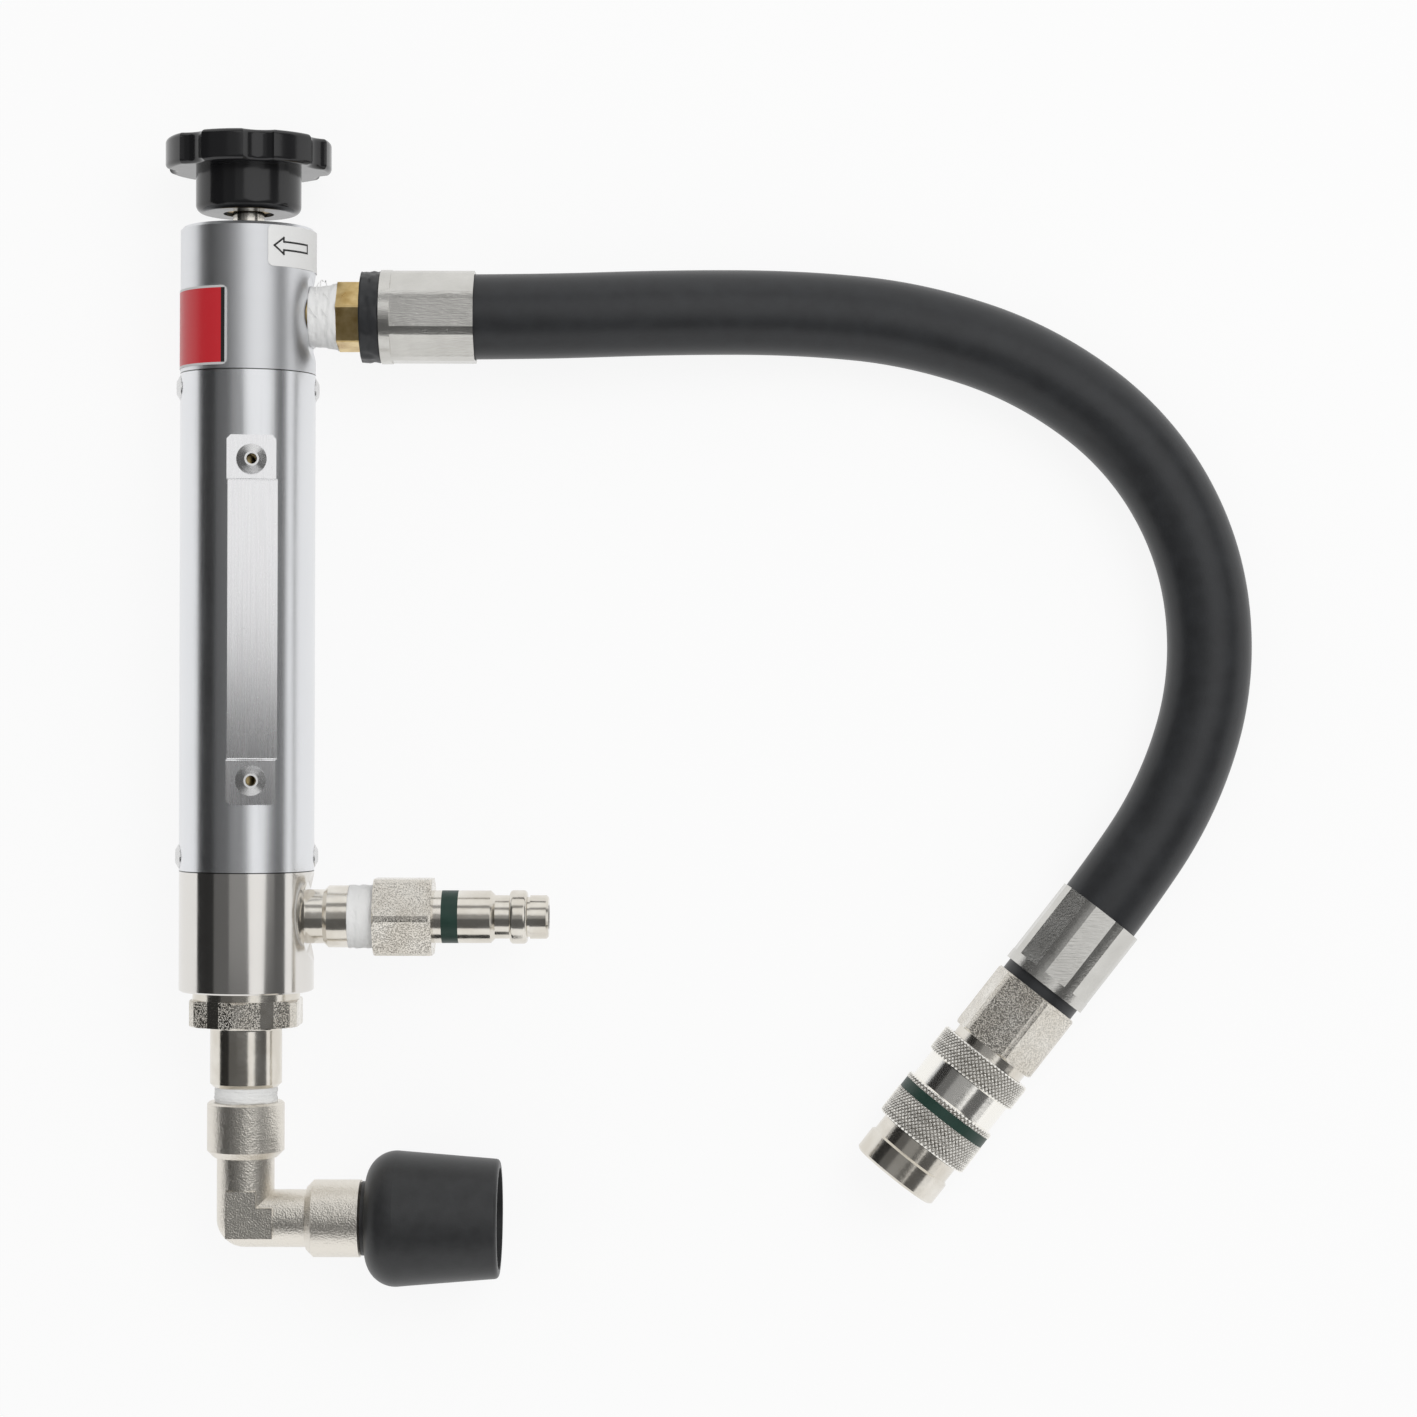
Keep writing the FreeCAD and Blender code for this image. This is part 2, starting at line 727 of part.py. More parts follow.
# Sleeve screws: button heads on the spot faces
screws = []
head_top = f"{spot_plane} + screw_head_height"
for half_turn in (0, 180):
    for place, station in (("low", screw_low), ("high", screw_high)):
        screws.append(turned(f"sleeve_screw_{place}_{half_turn}", [
            ("0", "screw_reach"),
            ("screw_d / 2", "screw_reach"),
            ("screw_d / 2", spot_plane),
            ("screw_head_d / 2", spot_plane),
            ("screw_head_d / 2", f"{spot_plane} + screw_crown"),
            ("screw_head_d / 4", head_top),
            ("0", head_top),
        ], outward(station, f"screw_turn + {half_turn}")))
sleeve_screws = grouped("sleeve_screws", screws)

# Belt clip: one bent strip of sheet with a foot at each end
belt_clip = doc.addObject("PartDesign::Body", "belt_clip")
foot = "tube_d / 2 + skin_gap"
raised = f"{foot} + clip_rise"
bow_radius = "((clip_length / 2 - clip_pad_length) ^ 2 + clip_bow ^ 2) / (2 * clip_bow)"
slot_low = f"{clip_low} + clip_pad_length"
slot_high = f"{clip_high} - clip_pad_length"
clip_outline = draw(belt_clip, "clip_side", [
    (foot, clip_low),
    (f"{foot} + clip_sheet", clip_low),
    (f"{foot} + clip_sheet", f"{slot_low} - clip_sheet"),
    (f"{raised} + clip_sheet", f"{slot_low} - clip_sheet", bow_radius, 1),
    (f"{raised} + clip_sheet", f"{slot_high} + clip_sheet"),
    (f"{foot} + clip_sheet", f"{slot_high} + clip_sheet"),
    (f"{foot} + clip_sheet", clip_high),
    (foot, clip_high),
    (foot, slot_high),
    (raised, slot_high, bow_radius, -1),
    (raised, slot_low),
    (foot, slot_low),
])
strip = belt_clip.newObject("PartDesign::Pad", "clip_strip")
strip.Profile = clip_outline
strip.Midplane = True
strip.setExpression("Length", bound("clip_width"))
check(strip)


def edges_where(feature, test):
    """The names of a feature's edges that the test accepts."""
    return [f"Edge{n}" for n, edge in enumerate(feature.Shape.Edges, start=1) if test(edge)]


def at_clip_end(box):
    low, high = value(f"{clip_low} + clip_sheet"), value(f"{clip_high} - clip_sheet")
    return not low < box.Center.z < high


def is_bend(edge):
    box = edge.BoundBox
    crosswise = box.YLength > value("clip_width") - CLOSE
    return crosswise and not at_clip_end(box)


def is_foot_corner(edge):
    box = edge.BoundBox
    through = abs(box.XLength - value("clip_sheet")) < CLOSE and box.YLength < CLOSE
    return through and at_clip_end(box)


softened(belt_clip, "Fillet", "clip_bends", "clip_bend", edges_where(belt_clip.Tip, is_bend))
softened(belt_clip, "Chamfer", "clip_corners", "clip_corner",
         edges_where(belt_clip.Tip, is_foot_corner))
belt_clip.Placement = along_tube("clip_turn")
for place, station in rivet_stations.items():
    side_hole(belt_clip, f"clip_hole_{place}", station, "rivet_d / 2 + screw_gap / 2",
              f"{foot} - {CUT_OVER}", f"{foot} + clip_sheet + {CUT_OVER}", "0")

# Blind rivets: flanged heads on the clip, bulbs inside the sleeve
rivets = []
flange = f"{foot} + clip_sheet + skin_gap"
for place, station in rivet_stations.items():
    rivet = turned(f"clip_rivet_{place}", [
        ("rivet_hole_d / 2", "sleeve_bore / 2 - skin_gap - rivet_bulb_length"),
        ("rivet_bulb_d / 2", "sleeve_bore / 2 - skin_gap - rivet_bulb_length"),
        ("rivet_bulb_d / 2", "sleeve_bore / 2 - skin_gap - rivet_bulb_length / 4"),
        ("rivet_d / 2", "sleeve_bore / 2 - slide_gap"),
        ("rivet_d / 2", flange),
        ("rivet_head_d / 2", flange),
        ("rivet_head_d / 2", f"{flange} + rivet_head_height / 4"),
        ("rivet_d / 2", f"{flange} + rivet_head_height"),
        ("rivet_hole_d / 2", f"{flange} + rivet_head_height"),
    ], outward(station, "clip_turn"))
    rivets.append(rivet)
clip_rivets = grouped("clip_rivets", rivets)


# Labels: thin foil wrapped on the upper body

def wrapped_label(label, low, height, turn, sweep):
    body = doc.addObject("PartDesign::Body", label)
    base = f"{upper_low} + {low}"
    inner = "tube_d / 2 + skin_gap"
    sketch = draw(body, label + "_section", [
        (inner, base),
        (f"{inner} + label_sheet", base),
        (f"{inner} + label_sheet", f"{base} + {height}"),
        (inner, f"{base} + {height}"),
    ])
    wrap = body.newObject("PartDesign::Revolution", label + "_wrap")
    wrap.Profile = sketch
    wrap.ReferenceAxis = (sketch, ["V_Axis"])
    wrap.setExpression("Angle", bound(sweep))
    wrap.Midplane = False
    check(wrap)
    thin = value("label_sheet")
    corners = edges_where(wrap, lambda edge: edge.Length < thin + CLOSE)
    softened(body, "Fillet", label + "_corners", "label_corner", corners)
    body.Placement = along_tube(turn)
    return body


arrow_label = wrapped_label("arrow_label", "arrow_label_low", "arrow_label_height",
                            "arrow_label_turn", "arrow_label_sweep")
red_label = wrapped_label("red_label", "red_label_low", "red_label_height",
                          "red_label_turn", "red_label_sweep")

# Hot tube, from the vortex generator to the warm air chamber
hot_tube = turned("hot_tube", [
    ("hot_tube_bore / 2", f"{generator_high} - generator_seat"),
    ("hot_tube_d / 2", f"{generator_high} - generator_seat"),
    ("hot_tube_d / 2", hot_chamber_low),
    ("hot_tube_bore / 2", hot_chamber_low),
], tube)
tube_o_ring = o_ring("tube_o_ring", "hot_tube_d / 2", f"{lower_ring} + groove_width / 2", tube)

# Vortex generator: a flanged barrel whose nozzles enter the swirl chamber at a tangent
flange_top = f"{generator_low} + generator_flange"
flange_radius = "chamber_d / 2 - screw_gap"
ring_low = f"{generator_low} + (generator_flange - groove_width) / 2"
ring_floor = "chamber_d / 2 - ring_wire - skin_gap"
seat_radius = "hot_tube_d / 2 + screw_gap"
vortex_generator = turned("vortex_generator", [
    ("orifice_d / 2", generator_low),
    (flange_radius, generator_low),
    (flange_radius, ring_low),
    (ring_floor, ring_low),
    (ring_floor, f"{ring_low} + groove_width"),
    (flange_radius, f"{ring_low} + groove_width"),
    (flange_radius, flange_top),
    ("generator_barrel_d / 2", flange_top),
    ("generator_barrel_d / 2", generator_high),
    (seat_radius, generator_high),
    (seat_radius, f"{generator_high} - generator_seat"),
    ("hot_tube_bore / 2", f"{generator_high} - generator_seat"),
    ("hot_tube_bore / 2", flange_top),
    ("orifice_d / 2", flange_top),
], tube)
before_nozzles = vortex_generator.Shape.Volume
nozzle_sketch = draw(vortex_generator, "nozzle_plan", [
    ("0", "hot_tube_bore / 2 - nozzle_width"),
    ("generator_barrel_d", "hot_tube_bore / 2 - nozzle_width"),
    ("generator_barrel_d", "hot_tube_bore / 2"),
    ("0", "hot_tube_bore / 2"),
], role="XY_Plane", lift=f"{flange_top} + nozzle_inset")
nozzle = vortex_generator.newObject("PartDesign::Pocket", "nozzle")
nozzle.Profile = nozzle_sketch
nozzle.Type = 0
nozzle.Reversed = True
nozzle.setExpression("Length", bound("nozzle_height"))
must_cut(vortex_generator, nozzle, before_nozzles)
repeat(vortex_generator, nozzle, "nozzle_count")
generator_o_ring = o_ring(
    "generator_o_ring", ring_floor, f"{ring_low} + groove_width / 2", tube)

# Cold end cap: screwed into the lower body, with a hexagon and a threaded neck
thread_low = "elbow_reach - elbow_thread_depth + screw_gap"
cold_end_cap = turned("cold_end_cap", [
    ("cold_bore / 2", thread_low),
    ("tape_core_d / 2", thread_low),
    ("tape_core_d / 2", cold_tape_top),
    ("cold_neck_d / 2", cold_tape_top),
    ("cold_neck_d / 2", cold_hex_low),
    ("cold_hex_bar_d / 2", cold_hex_low),
    ("cold_hex_bar_d / 2", cold_hex_high),
    ("cap_groove_d / 2", cold_hex_high),
    ("cap_groove_d / 2", lower_low),
    (flange_radius, lower_low),
    (flange_radius, generator_low),
    ("cold_bore / 2", generator_low),
], tube)
chamfered(cold_end_cap, "cold_neck_edge", "neck_chamfer", [("cold_neck_d / 2", cold_tape_top)])
rounded(cold_end_cap, "cold_neck_root", "neck_fillet", [("cold_neck_d / 2", cold_hex_low)])
chamfered(cold_end_cap, "cold_hex_edges", "edge_break / 2",
          [("cold_hex_bar_d / 2", cold_hex_low), ("cold_hex_bar_d / 2", cold_hex_high)])
milled(cold_end_cap, "cold_hex", "cold_hex_across", "cold_hex_bar_d",
       cold_hex_low, cold_hex_high, HEXAGON, "0")


def tape(label, core, outer, low, high, placement):
    """Sealing tape wound round a thread between two shoulders."""
    return turned(label, [
        (f"{core} / 2 + skin_gap", low),
        (f"{outer} / 2", low),
        (f"{outer} / 2", high),
        (f"{core} / 2 + skin_gap", high),
    ], placement)


cold_end_tape = tape("cold_end_tape", "tape_core_d", "cold_tape_d",
                     "elbow_reach", cold_tape_top, tube)

# Elbow: a cast corner with two sockets, each turned and bored from its own end
socket_low = "elbow_reach - elbow_socket_length"
slope_foot = "elbow_socket_d / 2 - elbow_socket_slope"
elbow_side = [
    ("0", "0"),
    ("elbow_arm_d / 2", "0"),
    ("elbow_arm_d / 2", socket_low),
    (slope_foot, socket_low),
    ("elbow_socket_d / 2", f"{socket_low} + elbow_socket_slope"),
    ("elbow_socket_d / 2", "elbow_reach - elbow_socket_edge"),
    ("elbow_socket_d / 2 - elbow_socket_edge", "elbow_reach"),
    ("0", "elbow_reach"),
]
elbow = turned("elbow", elbow_side, tube)
side_arm = elbow.newObject("PartDesign::Revolution", "elbow_side_arm")
side_arm.Profile = draw(elbow, "elbow_side_section",
                        [(along, across) for across, along in elbow_side])
side_arm.ReferenceAxis = (side_arm.Profile[0], ["H_Axis"])
side_arm.Angle = 360
check(side_arm)
corner_ball = elbow.newObject("PartDesign::AdditiveSphere", "elbow_corner")
corner_ball.setExpression("Radius", bound("elbow_arm_d / 2"))
check(corner_ball)
pad_plan = draw(elbow, "elbow_pad_plan", [
    ("0", "0"),
    ("elbow_pad_length", "0"),
    ("elbow_pad_length", "elbow_pad_width"),
    ("elbow_pad_width", "elbow_pad_width"),
    ("elbow_pad_width", "elbow_pad_length"),
    ("0", "elbow_pad_length"),
])
pad_plan.setExpression("AttachmentOffset.Base.x", bound("-elbow_pad_low"))
pad_plan.setExpression("AttachmentOffset.Base.y", bound("-elbow_pad_low"))
pad = elbow.newObject("PartDesign::Pad", "elbow_pads")
pad.Profile = pad_plan
pad.Midplane = True
pad.setExpression("Length", bound("2 * elbow_pad_depth"))
check(pad)
thread_floor = "elbow_reach - elbow_thread_depth"
elbow_bore = [
    ("0", "0"),
    ("elbow_passage_d / 2", "0"),
    ("elbow_passage_d / 2", thread_floor),
    ("elbow_thread_d / 2", thread_floor),
    ("elbow_thread_d / 2", f"elbow_reach + {CUT_OVER}"),
    ("0", f"elbow_reach + {CUT_OVER}"),
]
for name, axis, outline in (
        ("elbow_bore", "V_Axis", elbow_bore),
        ("elbow_side_bore", "H_Axis", [(along, across) for across, along in elbow_bore])):
    before = elbow.Shape.Volume
    bore = elbow.newObject("PartDesign::Groove", name)
    bore.Profile = draw(elbow, name + "_section", outline)
    bore.ReferenceAxis = (bore.Profile[0], [axis])
    bore.Angle = 360
    must_cut(elbow, bore, before)

# Silencer: a porous cup screwed into the elbow's side socket
exhaust = outward("0")
silencer_end = "elbow_reach + silencer_length"
silencer = turned("silencer", [
    ("silencer_bore / 2", thread_low),
    ("tape_core_d / 2", thread_low),
    ("tape_core_d / 2", "elbow_reach + skin_gap"),
    ("silencer_d / 2", "elbow_reach + skin_gap"),
    ("silencer_d / 2", silencer_end),
    ("0", silencer_end),
    ("0", f"{silencer_end} - (silencer_d - silencer_bore) / 2"),
    ("silencer_bore / 2", f"{silencer_end} - (silencer_d - silencer_bore) / 2"),
], exhaust)
rounded(silencer, "silencer_edge_round", "silencer_edge", [("silencer_d / 2", silencer_end)])

# Rubber shroud: a domed sleeve that grips the silencer and opens at its far end
shroud_low = "elbow_reach + screw_gap"
dome_rise = "(shroud_d - shroud_neck_d) / 2"
shroud_shoulder = f"{shroud_low} + shroud_neck_length + {dome_rise}"
shroud_high = f"{shroud_low} + shroud_length"
rubber_shroud = turned("rubber_shroud", [
    ("silencer_d / 2 + skin_gap", shroud_low),
    ("shroud_neck_d / 2", shroud_low),
    ("shroud_neck_d / 2", f"{shroud_low} + shroud_neck_length", dome_rise, 1),
    ("shroud_d / 2", shroud_shoulder),
    ("shroud_mouth_d / 2", shroud_high),
    ("shroud_bore / 2", shroud_high),
    ("shroud_bore / 2", f"{shroud_low} + shroud_grip"),
    ("silencer_d / 2 + skin_gap", f"{shroud_low} + shroud_grip"),
], exhaust)
rounded(rubber_shroud, "shroud_mouth_round", "shroud_edge", [("shroud_mouth_d / 2", shroud_high)])

# Control valve: gland, needle spindle and knob
gland_ring = f"{hot_chamber_high} + gland_ring_inset"
spindle_gland = turned("spindle_gland", [
    ("spindle_d / 2 + screw_gap", hot_chamber_high),
    ("gland_d / 2 - screw_gap", hot_chamber_high),
    ("gland_d / 2 - screw_gap", upper_high),
    ("spindle_d / 2 + screw_gap", upper_high),
    ("spindle_d / 2 + screw_gap", f"{gland_ring} + groove_width"),
    ("spindle_d / 2 + ring_wire + skin_gap", f"{gland_ring} + groove_width"),
    ("spindle_d / 2 + ring_wire + skin_gap", gland_ring),
    ("spindle_d / 2 + screw_gap", gland_ring),
], tube)
spindle_o_ring = o_ring("spindle_o_ring", "spindle_d / 2",
                        f"{gland_ring} + groove_width / 2", tube)
needle_seat = f"{hot_chamber_low} + valve_lift"
needle_slope = "(hot_tube_bore - needle_tip_d) / 2 / needle_length"
needle_head = f"(hot_tube_bore / 2 + {needle_slope} * needle_over)"
insert_low = f"{hub_low} + recess_depth"
insert_high = f"{insert_low} + insert_length"
valve_spindle = turned("valve_spindle", [
    ("0", f"{needle_seat} - needle_length"),
    ("needle_tip_d / 2", f"{needle_seat} - needle_length"),
    (needle_head, f"{needle_seat} + needle_over"),
    (needle_head, f"{needle_seat} + needle_over + needle_collar"),
    ("spindle_d / 2", f"{needle_seat} + needle_over + needle_collar"),
    ("spindle_d / 2", f"{insert_low} - slide_gap"),
    ("spindle_end_d / 2", f"{insert_low} - slide_gap"),
    ("spindle_end_d / 2", f"{insert_high} - slide_gap"),
    ("0", f"{insert_high} - slide_gap"),
], tube)
knob_insert = turned("knob_insert", [
    ("spindle_end_d / 2 + screw_gap", insert_low),
    ("insert_d / 2", insert_low),
    ("insert_d / 2", insert_high),
    ("spindle_end_d / 2 + screw_gap", insert_high),
], tube)
control_knob = turned("control_knob", [
    ("0", f"{insert_high} + skin_gap"),
    ("insert_d / 2 + skin_gap", f"{insert_high} + skin_gap"),
    ("insert_d / 2 + skin_gap", insert_low),
    ("recess_d / 2", insert_low),
    ("recess_d / 2", hub_low),
    ("hub_d / 2", hub_low),
    ("hub_d / 2", head_low),
    ("head_d / 2", head_low),
    ("head_d / 2", head_high),
    ("0", head_high),
], tube)
before_flutes = control_knob.Shape.Volume
flute_centre = "head_d / 2 - flute_depth + flute_radius"
flute_plan = draw_circle(control_knob, "flute_plan", flute_centre, "flute_radius",
                         head_low, f"flute_turn - {PORT_TURN}")
flute = control_knob.newObject("PartDesign::Pocket", "flute")
flute.Profile = flute_plan
flute.Type = 0
flute.Reversed = True
flute.setExpression("Length", bound("head_thickness"))
must_cut(control_knob, flute, before_flutes)
repeat(control_knob, flute, "flute_count")


def is_head_rim(edge):
    box = edge.BoundBox
    flat = box.ZLength < CLOSE
    station = box.Center.z
    at_face = min(abs(station - value(head_high)), abs(station - value(head_low))) < CLOSE
    middle = edge.valueAt((edge.FirstParameter + edge.LastParameter) / 2)
    return flat and at_face and math.hypot(middle.x, middle.y) > value("hub_d / 2") + CLOSE


softened(control_knob, "Fillet", "head_rim", "head_fillet",
         edges_where(control_knob.Tip, is_head_rim))
rounded(control_knob, "hub_rim", "hub_fillet", [("hub_d / 2", hub_low)])

# Supply side: adapter, tape, plug and its colour band
inlet = outward(inlet_station)
inlet_face = "tube_d / 2 - inlet_spot_depth"
adapter_low = f"{inlet_face} + adapter_neck_length"
tape_low = f"{adapter_low} + adapter_cone_length + adapter_length"
plug_low = f"{tape_low} + inlet_tape_length"
adapter_end = f"{plug_low} + plug_socket_depth - adapter_end_gap"
inlet_adapter = turned("inlet_adapter", [
    ("adapter_bore / 2", f"{inlet_face} - adapter_thread_length"),
    ("inlet_port_d / 2 - screw_gap", f"{inlet_face} - adapter_thread_length"),
    ("inlet_port_d / 2 - screw_gap", inlet_face),
    ("adapter_neck_d / 2", inlet_face),
    ("adapter_neck_d / 2", adapter_low),
    ("adapter_d / 2", f"{adapter_low} + adapter_cone_length"),
    ("adapter_d / 2", tape_low),
    ("tape_core_d / 2", tape_low),
    ("tape_core_d / 2", adapter_end),
    ("adapter_bore / 2", adapter_end),
], inlet)
inlet_tape = tape("inlet_tape", "tape_core_d", "inlet_tape_d", tape_low, plug_low, inlet)
plug_neck = f"{plug_low} + plug_hex_length"
band_low = f"{plug_neck} + plug_neck_length"
band_high = f"{band_low} + band_length"
land_high = f"{band_high} + plug_land_length"
waist_low = f"{land_high} + plug_cone_length"
collar_low = f"{waist_low} + plug_waist_length"
collar_high = f"{collar_low} + plug_collar_length"
plug_end = f"{collar_high} + plug_tip_length"
supply_plug = turned("supply_plug", [
    ("plug_bore / 2", f"{plug_low} + plug_socket_depth"),
    ("tape_core_d / 2 + screw_gap", f"{plug_low} + plug_socket_depth"),
    ("tape_core_d / 2 + screw_gap", plug_low),
    ("plug_hex_bar_d / 2", plug_low),
    ("plug_hex_bar_d / 2", plug_neck),
    ("plug_d / 2", plug_neck),
    ("plug_d / 2", band_low),
    ("plug_d / 2 - band_wall", band_low),
    ("plug_d / 2 - band_wall", band_high),
    ("plug_d / 2", band_high),
    ("plug_d / 2", land_high),
    ("plug_waist_d / 2", waist_low),
    ("plug_waist_d / 2", collar_low),
    ("plug_collar_d / 2", collar_low),
    ("plug_collar_d / 2", collar_high),
    ("plug_groove_d / 2", collar_high),
    ("plug_groove_d / 2", f"{collar_high} + plug_groove_length"),
    ("plug_tip_d / 2", f"{collar_high} + plug_groove_length"),
    ("plug_tip_d / 2", plug_end),
    ("plug_bore / 2", plug_end),
], inlet)
rounded(supply_plug, "plug_collar_rounds", "plug_collar_round",
        [("plug_collar_d / 2", collar_low), ("plug_collar_d / 2", collar_high)])
chamfered(supply_plug, "plug_edges", "plug_tip_edge",
          [("plug_tip_d / 2", plug_end), ("plug_hex_bar_d / 2", plug_low),
           ("plug_hex_bar_d / 2", plug_neck)])
milled(supply_plug, "plug_hex", "plug_hex_across", "plug_hex_bar_d",
       plug_low, plug_neck, HEXAGON, "plug_hex_turn")
plug_band = turned("plug_band", [
    ("plug_d / 2 - band_wall + skin_gap", band_low),
    ("plug_d / 2", band_low),
    ("plug_d / 2", band_high),
    ("plug_d / 2 - band_wall + skin_gap", band_high),
], inlet)


def barbed(low):
    """The saw-toothed outside of a hose barb, from its shoulder to its end."""
    outline = [("barb_root_d / 2", low)]
    for number in range(int(value("barb_count"))):
        crest = f"{low} + barb_start + {number} * barb_pitch"
        outline.append(("barb_root_d / 2", crest))
        outline.append(("barb_d / 2", crest))
        outline.append(("barb_root_d / 2", f"{crest} + barb_pitch - barb_land"))
    outline.append(("barb_bore / 2", f"{low} + barb_start + barb_count * barb_pitch - barb_land"))
    return outline


# Outlet side: hose tail with its tape
outlet = outward(outlet_station)
outlet_face = "tube_d / 2 - outlet_spot_depth"
tail_hex_low = f"{outlet_face} + outlet_tape_length"
tail_hex_high = f"{tail_hex_low} + tail_hex_length"
hose_low = f"{tail_hex_high} + hose_clearance"
hose_tail = turned("hose_tail", [
    ("barb_bore / 2", f"{outlet_face} - tail_thread_length"),
    ("tape_core_d / 2", f"{outlet_face} - tail_thread_length"),
    ("tape_core_d / 2", tail_hex_low),
    ("tail_hex_bar_d / 2", tail_hex_low),
    ("tail_hex_bar_d / 2", tail_hex_high),
] + barbed(tail_hex_high), outlet)
milled(hose_tail, "tail_hex", "tail_hex_across", "tail_hex_bar_d",
       tail_hex_low, tail_hex_high, HEXAGON, "tail_hex_turn")
outlet_tape = tape("outlet_tape", "tape_core_d", "outlet_tape_d",
                   outlet_face, tail_hex_low, outlet)


def ferrule(label, outer, low, placement):
    """A crimped sleeve: a tube with flats pressed round it beyond a plain lip."""
    body = turned(label, [
        ("hose_d / 2 + ferrule_slack", low),
        (f"{outer} / 2", low),
        (f"{outer} / 2", f"{low} + ferrule_length"),
        ("hose_d / 2 + ferrule_slack", f"{low} + ferrule_length"),
    ], placement)
    milled(body, label + "_crimp", "crimp_across", outer,
           f"{low} + crimp_lip", f"{low} + ferrule_length", "crimp_count")
    return body


ferrule_inner = ferrule("ferrule_inner", "ferrule_inner_d",
                        f"{hose_low} + ferrule_inner_start", outlet)

# Quick coupling: body, locking balls and seal
coupling = along_coupling()
coupling_body = turned("coupling_body", [
    ("mouth_d / 2", "0"),
    ("nose_d / 2", "0"),
    ("nose_d / 2", "nose_length"),
    ("nose_neck_d / 2", "nose_length"),
    ("nose_neck_d / 2", "sleeve_start - slide_gap"),
    ("barrel_d / 2", "sleeve_start - slide_gap"),
    ("barrel_d / 2", "barrel_end"),
    ("coupling_thread_d / 2", "barrel_end"),
    ("coupling_thread_d / 2", "barrel_end + coupling_thread_length"),
    ("poppet_chamber_d / 2", "barrel_end + coupling_thread_length"),
    ("poppet_chamber_d / 2", "poppet_seat"),
    ("tip_bore / 2", "poppet_seat"),
    ("tip_bore / 2", "seal_start + groove_width"),
    ("tip_bore / 2 - skin_gap + ring_wire", "seal_start + groove_width"),
    ("tip_bore / 2 - skin_gap + ring_wire", "seal_start"),
    ("tip_bore / 2", "seal_start"),
    ("tip_bore / 2", "mouth_depth"),
    ("seat_d / 2", "mouth_depth"),
    ("seat_d / 2", "entry_length"),
    ("mouth_d / 2", "entry_length"),
], coupling)
chamfered(coupling_body, "nose_edges", "nose_edge",
          [("nose_d / 2", "0"), ("nose_d / 2", "nose_length"), ("mouth_d / 2", "0")])
side_hole(coupling_body, "ball_hole", "ball_station", "ball_d / 2 + screw_gap / 2",
          f"seat_d / 2 - {CUT_OVER}", f"barrel_d / 2 + {CUT_OVER}", "0", "ball_count")
balls = []
for number in range(int(value("ball_count"))):
    ball = doc.addObject("Part::Sphere", f"locking_ball_{number + 1}")
    ball.setExpression("Radius", bound("ball_d / 2"))
    around = math.radians(360 * number / value("ball_count"))
    spot = FreeCAD.Vector(math.cos(around), math.sin(around), 0) * value("ball_orbit")
    spot.z = value("ball_station")
    ball.Placement = coupling.multiply(FreeCAD.Placement(spot, FreeCAD.Rotation()))
    balls.append(ball)
locking_balls = grouped("locking_balls", balls)
plug_seal = o_ring("plug_seal", "tip_bore / 2 - skin_gap * 2",
                   "seal_start + groove_width / 2", coupling)

# Sliding sleeve: two knurled grips with a neck between, and the colour band in its groove
neck_low = "sleeve_start + lower_knurl_length"
upper_knurl_low = f"{neck_low} + sleeve_neck_length"
sleeve_high = f"{upper_knurl_low} + upper_knurl_length"
groove_low = "sleeve_start + band_start"
groove_high = f"{groove_low} + sleeve_band_length"
release_high = "sleeve_start + release_length"
sleeve_land_high = f"{release_high} + land_length"
coupling_sleeve = turned("coupling_sleeve", [
    ("release_d / 2", "sleeve_start"),
    ("lower_knurl_d / 2", "sleeve_start"),
    ("lower_knurl_d / 2", groove_low),
    ("sleeve_neck_d / 2", groove_low),
    ("sleeve_neck_d / 2", groove_high),
    ("lower_knurl_d / 2", groove_high),
    ("lower_knurl_d / 2", neck_low),
    ("sleeve_neck_d / 2", neck_low),
    ("sleeve_neck_d / 2", upper_knurl_low),
    ("upper_knurl_d / 2", upper_knurl_low),
    ("upper_knurl_d / 2", sleeve_high),
    ("collar_d / 2 + slide_gap", sleeve_high),
    ("collar_d / 2 + slide_gap", sleeve_land_high),
    ("barrel_d / 2 + slide_gap", sleeve_land_high),
    ("barrel_d / 2 + slide_gap", release_high),
    ("release_d / 2", release_high),
], coupling)
chamfered(coupling_sleeve, "knurl_edges", "knurl_edge",
          [("lower_knurl_d / 2", "sleeve_start"), ("lower_knurl_d / 2", neck_low),
           ("upper_knurl_d / 2", upper_knurl_low), ("upper_knurl_d / 2", sleeve_high)])
sleeve_band = turned("sleeve_band", [
    ("sleeve_neck_d / 2 + skin_gap", groove_low),
    ("lower_knurl_d / 2 - sleeve_band_depth", groove_low),
    ("lower_knurl_d / 2 - sleeve_band_depth", groove_high),
    ("sleeve_neck_d / 2 + skin_gap", groove_high),
], coupling)

# Poppet: a cup that the plug's tip pushes off its seat
poppet_face = "poppet_seat + screw_gap"
poppet_outer = "poppet_chamber_d / 2 - slide_gap"
valve_poppet = turned("valve_poppet", [
    ("0", f"{poppet_face} - poppet_nose_length"),
    ("poppet_nose_d / 2", f"{poppet_face} - poppet_nose_length"),
    ("poppet_nose_d / 2", poppet_face),
    (poppet_outer, poppet_face),
    (poppet_outer, f"{poppet_face} + poppet_length"),
    (f"{poppet_outer} - poppet_wall", f"{poppet_face} + poppet_length"),
    (f"{poppet_outer} - poppet_wall", f"{poppet_face} + poppet_head"),
    ("0", f"{poppet_face} + poppet_head"),
], coupling)
side_hole(valve_poppet, "poppet_port", f"{poppet_face} + poppet_head + poppet_port_inset",
          "poppet_port_d / 2", f"{poppet_outer} - poppet_wall - {CUT_OVER}", "poppet_chamber_d / 2",
          "0", "poppet_port_count")

